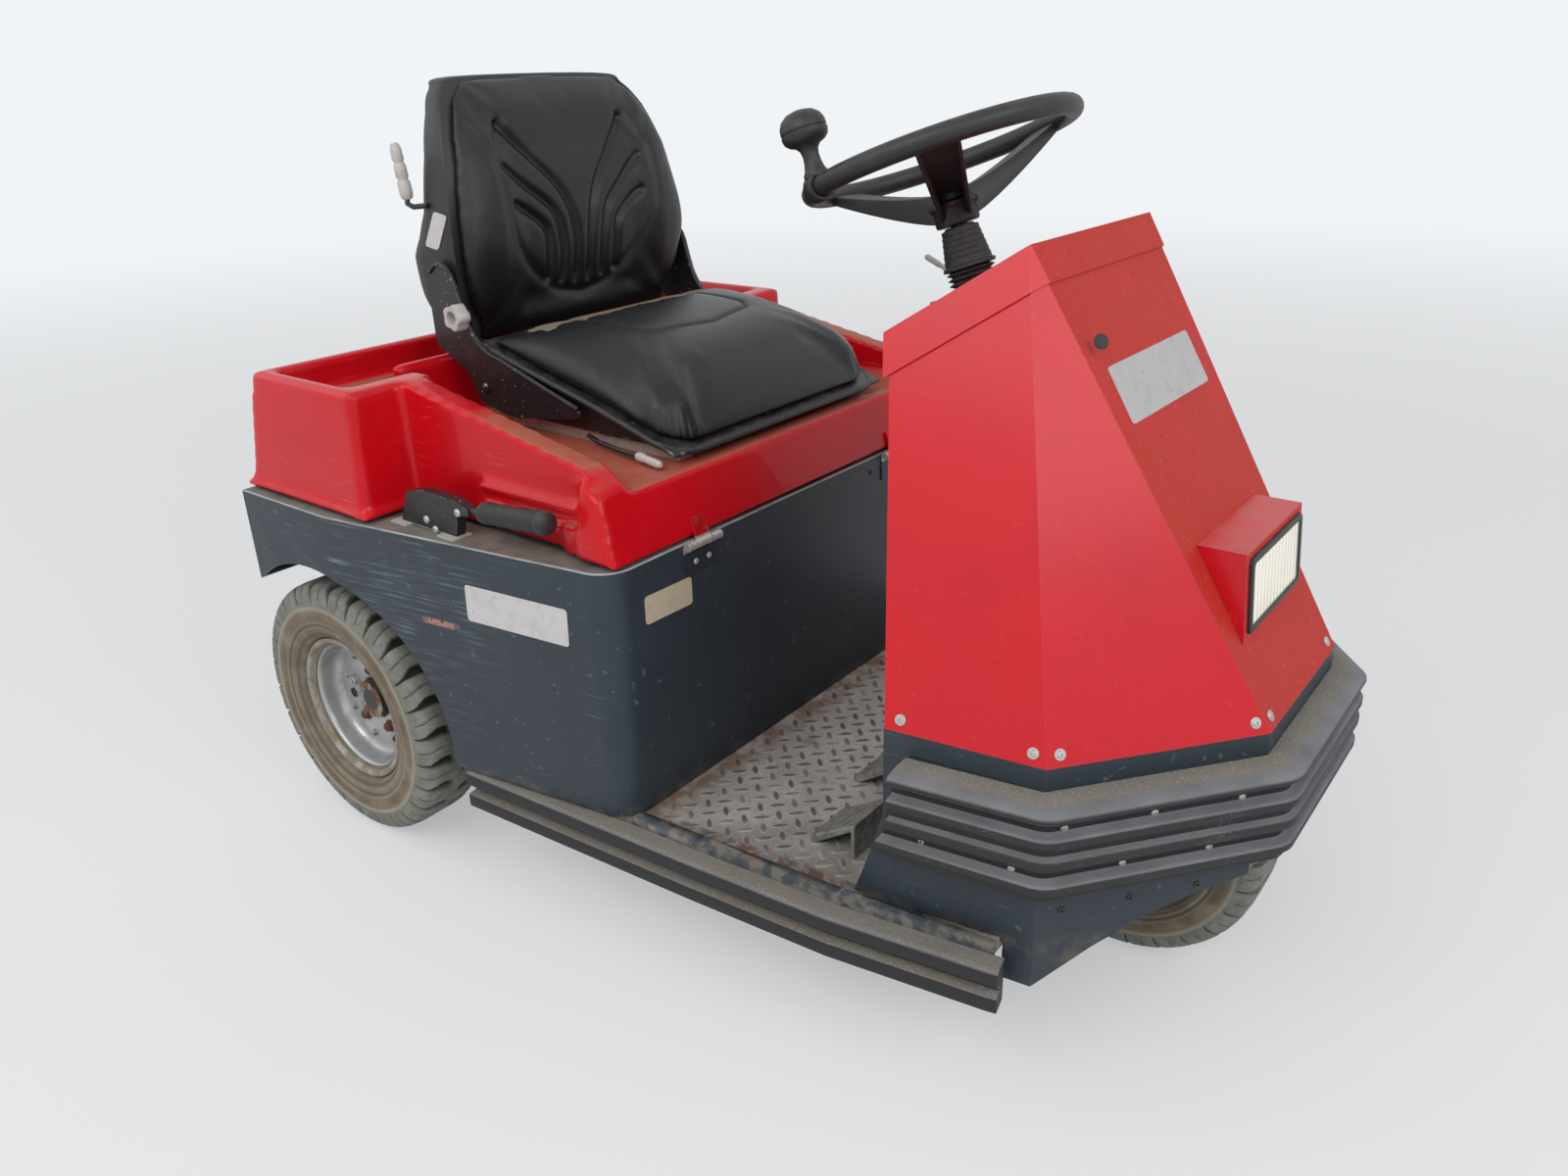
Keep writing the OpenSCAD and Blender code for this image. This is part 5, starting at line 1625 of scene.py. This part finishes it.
def steering_wheel():
    """Moulded rim, three spokes like channels and a deep hub."""
    section = []
    for i in range(20):
        a = 2 * math.pi * i / 20
        inner = math.cos(a) < -0.75
        out = STEERING_RADIUS + (12.2 if inner else 13) * math.cos(a)
        section.append((out, 12.6 * math.sin(a)))
    parts = [turned("Rim", section, COLUMN, 96, closed=True)]
    for spoke in range(3):
        turn = Matrix.Rotation(math.radians(180 + 120 * spoke), 3, "Z")
        rings = []
        for k in range(9):
            t = k / 8
            x = 14 + t * 145
            z = -64 + 60 * (t**1.25)
            w = 19 + 7 * t
            deep, wall = 36 - 25 * t, 5
            shape = [(-w, -deep / 2), (-w, deep / 2), (w, deep / 2), (w, -deep / 2),
                     (w - wall, -deep / 2), (w - wall, deep / 2 - wall),
                     (wall - w, deep / 2 - wall), (wall - w, -deep / 2)]
            rings.append([COLUMN @ (turn @ (Vector((x, y, z + h)) * MM)) for y, h in shape])
        mesh = lofted("Spoke", rings)
        mesh = applied(mesh, "Rounded edges", "BEVEL", width=1.2 * MM, segments=2)
        parts.append(mesh)
    hub = [(0, -28), (14, -28), (19, -30), (22, -34), (24, -44), (25, -56), (31, -60), (31.5, -64),
           (28, -68), (27.5, -84), (26, -86), (0, -86)]
    parts.append(turned("Hub", hub, COLUMN, 40))
    mesh = joined("Steering wheel", parts)
    sharp_and_smooth(mesh, 40)
    finish_piece("Steering_Wheel", mesh, "steering", plastic, ["steering_wheel"])


def spinner_knob():
    """Mushroom knob on its clamp, with a groove round its head."""
    out = Matrix.Translation((STEERING_RADIUS * MM, 0, 0))
    foot = COLUMN @ Matrix.Rotation(math.radians(238), 4, "Z") @ out
    line = [(0, 12), (15, 12), (15, 16), (12.5, 20), (10.5, 28), (9.8, 36), (11, 43), (15, 48),
            (22, 51), (26.4, 55), (28, 60), (28, 63.4), (26.8, 64.2), (26.8, 65.4), (28, 66.2),
            (27.4, 73), (24, 80), (17, 85.5), (8, 88), (0, 88.6)]
    head = turned("Knob", line, foot, 32)
    across = foot @ Matrix.Rotation(math.radians(90), 4, "X")
    clamp = [(13.6, -11), (17, -11), (18, -9), (18, 9), (17, 11), (13.6, 11)]
    band = turned("Clamp", clamp, across, 32, closed=True)
    mesh = joined("Spinner knob", [head, band])
    finish_piece("Spinner_Knob", mesh, "steering", plastic, ["spinner_knob"])


def column_boot():
    """Bellows, flange and taped sleeve round the column."""
    line = [(19.6, -165.4)]
    for k in range(4):
        z = -165.4 + k * 6.4
        line += [(24.5, z), (30.4, z + 2.6), (30.4, z + 3.4), (24.5, z + 6)]
    line += [(31, -139.4), (33, -138.6), (33, -135), (31, -134.4), (29.6, -133.6)]
    for k in range(6):
        z = -132 + k * 7
        r = 29.4 - k * 1.15
        line += [(r, z), (r - 0.2, z + 5.6), (r - 1.4, z + 6.4)]
    line += [(19.6, -90.4)]
    mesh = turned("Boot", line, COLUMN, 40, closed=True)
    finish_piece("Column_Boot", mesh, "chassis", boot, ["column_boot"])


def direction_stalk():
    """Thin white stalk with a thicker tip."""
    route = [on_column(-34, 38, -160), on_column(-40, 43, -156), on_column(-80, 76, -130),
             on_column(-126, 114, -106)]
    foot = turned("Foot", [(0, 0), (6.5, 0), (6.5, 6), (5, 10), (0, 10)],
                  COLUMN @ Matrix.Translation((-34 * MM, 38 * MM, -165.5 * MM)), 16)
    rod = tube("Rod", curve_through(route, 5), lambda k: 3.2 if k < 12 else 4.2)
    finish_piece("Direction_Stalk", joined("Stalk", [foot, rod]), "chassis", white, ["stalk"])


# Nose


def lamp_bezel():
    """Dark frame round the lamp's glass."""
    # The lamp's face leans back by 10 mm from its lower edge to its upper one
    low, high = 512, 617
    face = [(1204 + (high - z) * 10 / (high - low), z) for z in (low, high)]
    (x0, z0), (x1, z1) = face
    up = (Vector((x1, 0, z1)) - Vector((x0, 0, z0))).normalized()
    out = Vector((up.z, 0, -up.x))
    middle = Vector(((x0 + x1) / 2, 0, (z0 + z1) / 2))

    # Half width, half height, distance from the box's face and corner radius
    frames = [(92, 44.5, 0.2, 8), (92, 44.5, 3.2, 8), (90.6, 43, 4.2, 7), (85, 37.6, 4.2, 5),
              (84, 36.6, 3.2, 4), (84, 36.6, 1.4, 4), (84, 36.6, 0.2, 4)]
    rings = []
    for half_w, half_h, deep, radius in frames:
        outline = rounded_rectangle(half_w, half_h, radius, 5)
        rings.append([at(*(middle + Vector((0, y, 0)) + up * h + out * deep)) for y, h in outline])
    mesh = lofted("Bezel", rings, wrap=True)
    sharp_and_smooth(mesh, 40)
    finish_piece("Lamp_Bezel", mesh, "chassis", plastic)


# How far the cowl's folded panels lean from the upright, in degrees, then the panels:
# lower edge from and to, lean
COWL_LEANS = [21.1, 23.7, 31.466, 23.7, 21.1]
COWL_PANELS = list(zip(NOSE_ROUTE, NOSE_ROUTE[1:], COWL_LEANS))


def on_panel(panel, along, up):
    """A point on a cowl panel, from its first lower corner, and the way it faces."""
    (ax, ay), (bx, by), lean = COWL_PANELS[panel]
    way = Vector((bx - ax, by - ay, 0)).normalized()
    side = Vector((way.y, -way.x, 0))
    lean = math.radians(lean)
    rise = Vector((0, 0, math.cos(lean))) - side * math.sin(lean)
    facing = Vector((0, 0, math.sin(lean))) + side * math.cos(lean)
    return at(*(Vector((ax, ay, COWL_FOOT)) + way * along + rise * up)), facing


def nose_fasteners():
    """Washered screws along the cowl's lower edge and screws in the apron."""
    places = []
    for k, ((ax, ay), (bx, by), _) in enumerate(COWL_PANELS):
        long = math.hypot(bx - ax, by - ay)
        for along in (17, long - 17):
            places.append((*on_panel(k, along, 14), 0.7 * k + along))
    set_parts("Cowl_Screws", screw_with_washer(), places, "chassis", plated)
    apron = []
    for side in (1, -1):
        route = [(x, side * y) for x, y in NOSE_ROUTE[1:3]][:: side]
        apron += along_route(route, 84, 31, 0, 242)
    set_parts("Apron_Screws", small_screw(), apron, "chassis", black)
    point, facing = on_panel(1, 118, 440)
    profile = [(0, 2.4), (4, 2.3), (7, 1.6), (8.6, 0.4), (8.6, 0)]
    plug = turned("Plug", profile, standing(point, facing), 20)
    finish_piece("Cowl_Plug", plug, "chassis", boot)


def sticker(name, corners, body, finish):
    """A thin sheet with rounded corners on a flat face, from its four corners."""
    a, b, c, d = corners
    middle = (a + b + c + d) / 4
    across, up = (b - a).normalized(), (d - a).normalized()
    facing = across.cross(up).normalized()
    half_w, half_h = (b - a).length / 2 / MM, (d - a).length / 2 / MM
    thick, radius = 0.4, 5
    rings = []
    for lift, edge in ((0.02, 0), (thick, 0), (thick, 0.3)):
        outline = rounded_rectangle(half_w - edge, half_h - edge, radius - edge, 4)
        rings.append([middle + (across * x + up * y + facing * lift) * MM for x, y in outline])
    finish_piece(name, lofted(name, rings), body, finish)


def stickers():
    """Blank stickers on the box's side and front, the nose and the backrest's shell."""
    side = [(311, -455, 437), (480, -429.6, 434), (482, -429.3, 490), (313, -454.7, 490)]
    sticker("Side_Sticker", [at(*p) for p in side], "chassis", pale_sheet)
    box = [(553, -362, 459), (553, -273, 457), (553, -273, 496), (553, -362, 498)]
    sticker("Box_Sticker", [at(*p) for p in box], "chassis", cream_sheet)
    nose = [(12, 368), (244, 368), (244, 436), (12, 436)]
    sticker("Nose_Sticker", [on_panel(2, *p)[0] for p in nose], "chassis", silver_sheet)
    shell = [(38, -240.2, 882), (67, -240.2, 877), (91, -238.4, 925), (66, -238.4, 931)]
    sticker("Shell_Sticker", [at(*p) for p in shell], "lid", pale_sheet)


# Floor


def floor_drops():
    """Raised drops of the floor plate, each turned against its neighbours."""
    rings = []
    for share, high in ((1, 0), (0.8, 0.8), (0.45, 1.4)):
        ring = []
        for i in range(10):
            a = 2 * math.pi * i / 10
            narrow = 4.4 * math.sin(a) * abs(math.sin(a)) ** 0.3
            ring.append(Vector((12.5 * share * math.cos(a), share * narrow, high)) * MM)
        rings.append(ring)
    drop = lofted("Drop", rings)
    keep_values(drop, "raised", [float(v.co.z > 0.5 * MM) for v in drop.vertices])
    # The floor's front end and bare edge, and the toe boards that stand on it
    end, edge = 1055, 22
    boards_from, boards_half = 856, 230
    places = []
    for i in range(32):
        for j in range(-24, 25):
            x, y = 576 + 16 * i, 1 + 17.2 * j
            if (i + j) % 2 == 0 or x > end or abs(y) > from_table(SILL_HALF, x) - edge:
                continue
            if x > boards_from and abs(y) < boards_half:
                continue
            places.append((at(x, y, FLOOR_TOP), (0, 0, 1), math.radians(45 if i % 2 else -45)))
    set_parts("Floor_Drops", drop, places, "chassis", steel)


def brake_grip():
    """Ribbed black grip with finger waves on the parking brake."""
    start, end = at(345, -432, 591), at(472, -432, 602)
    long = (end - start).length / MM
    line = [(0, -1), (11, -1), (14.4, 1)]
    for k in range(30):
        z = 4 + k * (long - 22) / 30
        wave = 14.7 + 0.6 * math.sin(k / 30 * math.pi * 7) + 0.6 * k / 30
        line += [(wave, z), (wave, z + 2.3), (wave - 1.0, z + 2.9)]
    line += [(16, long - 16), (16, long - 9), (14, long - 3), (9, long), (0, long)]
    grip = turned("Grip", line, standing(start, end - start), 20)
    rod = tube("Rod", [at(322.4, -432, 588), at(346, -432, 591)], 5)
    finish_piece("Brake_Grip", joined("Brake grip", [grip, rod]), "chassis", plastic,
                 ["brake_lever"])


def brake_and_hinge_screws():
    """Bolt heads on the brake's bracket and screws in the hinges' lower leaves."""
    bolts = [(230, 560), (300, 584), (247, 549)]
    places = [(at(x, -440, z), (0, -1, 0), x) for x, z in bolts]
    set_parts("Brake_Bolts", small_screw(), places, "chassis", plated, 1.3)
    screws = [(555, -264, 515), (555, -238, 515), (553, 152, 523), (553, 182, 523)]
    places = [(at(x, y, z), (1, 0, 0), y) for x, y, z in screws]
    set_parts("Hinge_Screws", small_screw(), places, "chassis", plated)


# Light, camera and finishes

scene.view_settings.view_transform = "Standard"
set_camera()
add_floor()
light_world()
add_lamp("Side", (0.2, -2.8, 2.9), (0.3, -0.2, 0.5), (3.2, 1.6), 46, (1, 0.98, 0.96))
add_lamp("Front", (3.2, -0.7, 2.6), (0.6, -0.2, 0.6), (2.4, 1.8), 38, (0.96, 0.98, 1))
add_lamp("Back", (-3.0, -1.6, 2.4), (0, 0, 0.4), (2.4, 2.4), 14, (0.94, 0.97, 1))

red = red_paint()
moulding = red_moulding()
grey = grey_paint()
black = black_paint()
chipped = black_paint("Chipped black", 0.66)
rubber = bumper_rubber()
tyre = tyre_rubber()
rim = rim_metal()
rusty = hub_rust()
plated = zinc()
leaf = zinc("Painted zinc", 0.549)
steel = floor_steel()
pedal = pedal_steel()
plastic = black_plastic()
boot = boot_rubber()
white = white_plastic()
leather = vinyl()
glass = lamp_glass()
tail = lamp_red()
case = battery_case()
pale_sheet = sticker_sheet("Pale sticker", "white_plastic", (0.62, 0.60, 0.60))
cream_sheet = sticker_sheet("Cream sticker", "white_plastic", (0.60, 0.52, 0.38))
silver_sheet = sticker_sheet("Silver sticker", "white_plastic", (0.50, 0.49, 0.49))

fasteners = fastener_tree()
wheel_ring = ring_tree()

# The pieces


def box_edge(middle):
    """Width of the body box's rounded edges: large round its top, small elsewhere."""
    return 8 if middle.z > 0.53 else 1.5


dress("nose_cowl", red, 4)
dress("nose_cap", red, 4)
dress("lamp_box", red, 4)
dress("lamp_lens", glass, 1.5)
dress("nose_base", grey, 2)
dress("wheel_box", grey, 1.5)
dress("body_box", grey, 8, box_edge)
dress("floor_plate", steel, 0)
dress("battery", case, 8)
for node in ("rails", "cross_members", "rear_axle", "drive_unit", "head_bridge", "fork",
             "steering_column", "coupling"):
    dress(node, black, 2)
dress("brake_bracket", bracket_paint(), 1.2)
dress("seat_pan", black, 3)
dress("lid_leaves", leaf, 0.6)
dress("hinge_leaves", plated, 0.6)
dress("seat_slides", plated, 0.6)
dress("pedals", pedal, 2)
dress("rear_lamps", tail, 4)

moulded_lid()
seat_cushion()
back_shell()
back_cushion()
seat_piping()
seat_arms()
star_knob()
seat_levers()
wheel("Right", "wheel_right", 0, -HALF_TRACK, REAR_RADIUS)
wheel("Left", "wheel_left", 0, HALF_TRACK, REAR_RADIUS, -1)
wheel("Front", "front_wheel", WHEELBASE, 0, FRONT_RADIUS)
bumpers()
steering_wheel()
spinner_knob()
column_boot()
direction_stalk()
lamp_bezel()
nose_fasteners()
floor_drops()
brake_grip()
brake_and_hinge_screws()
stickers()
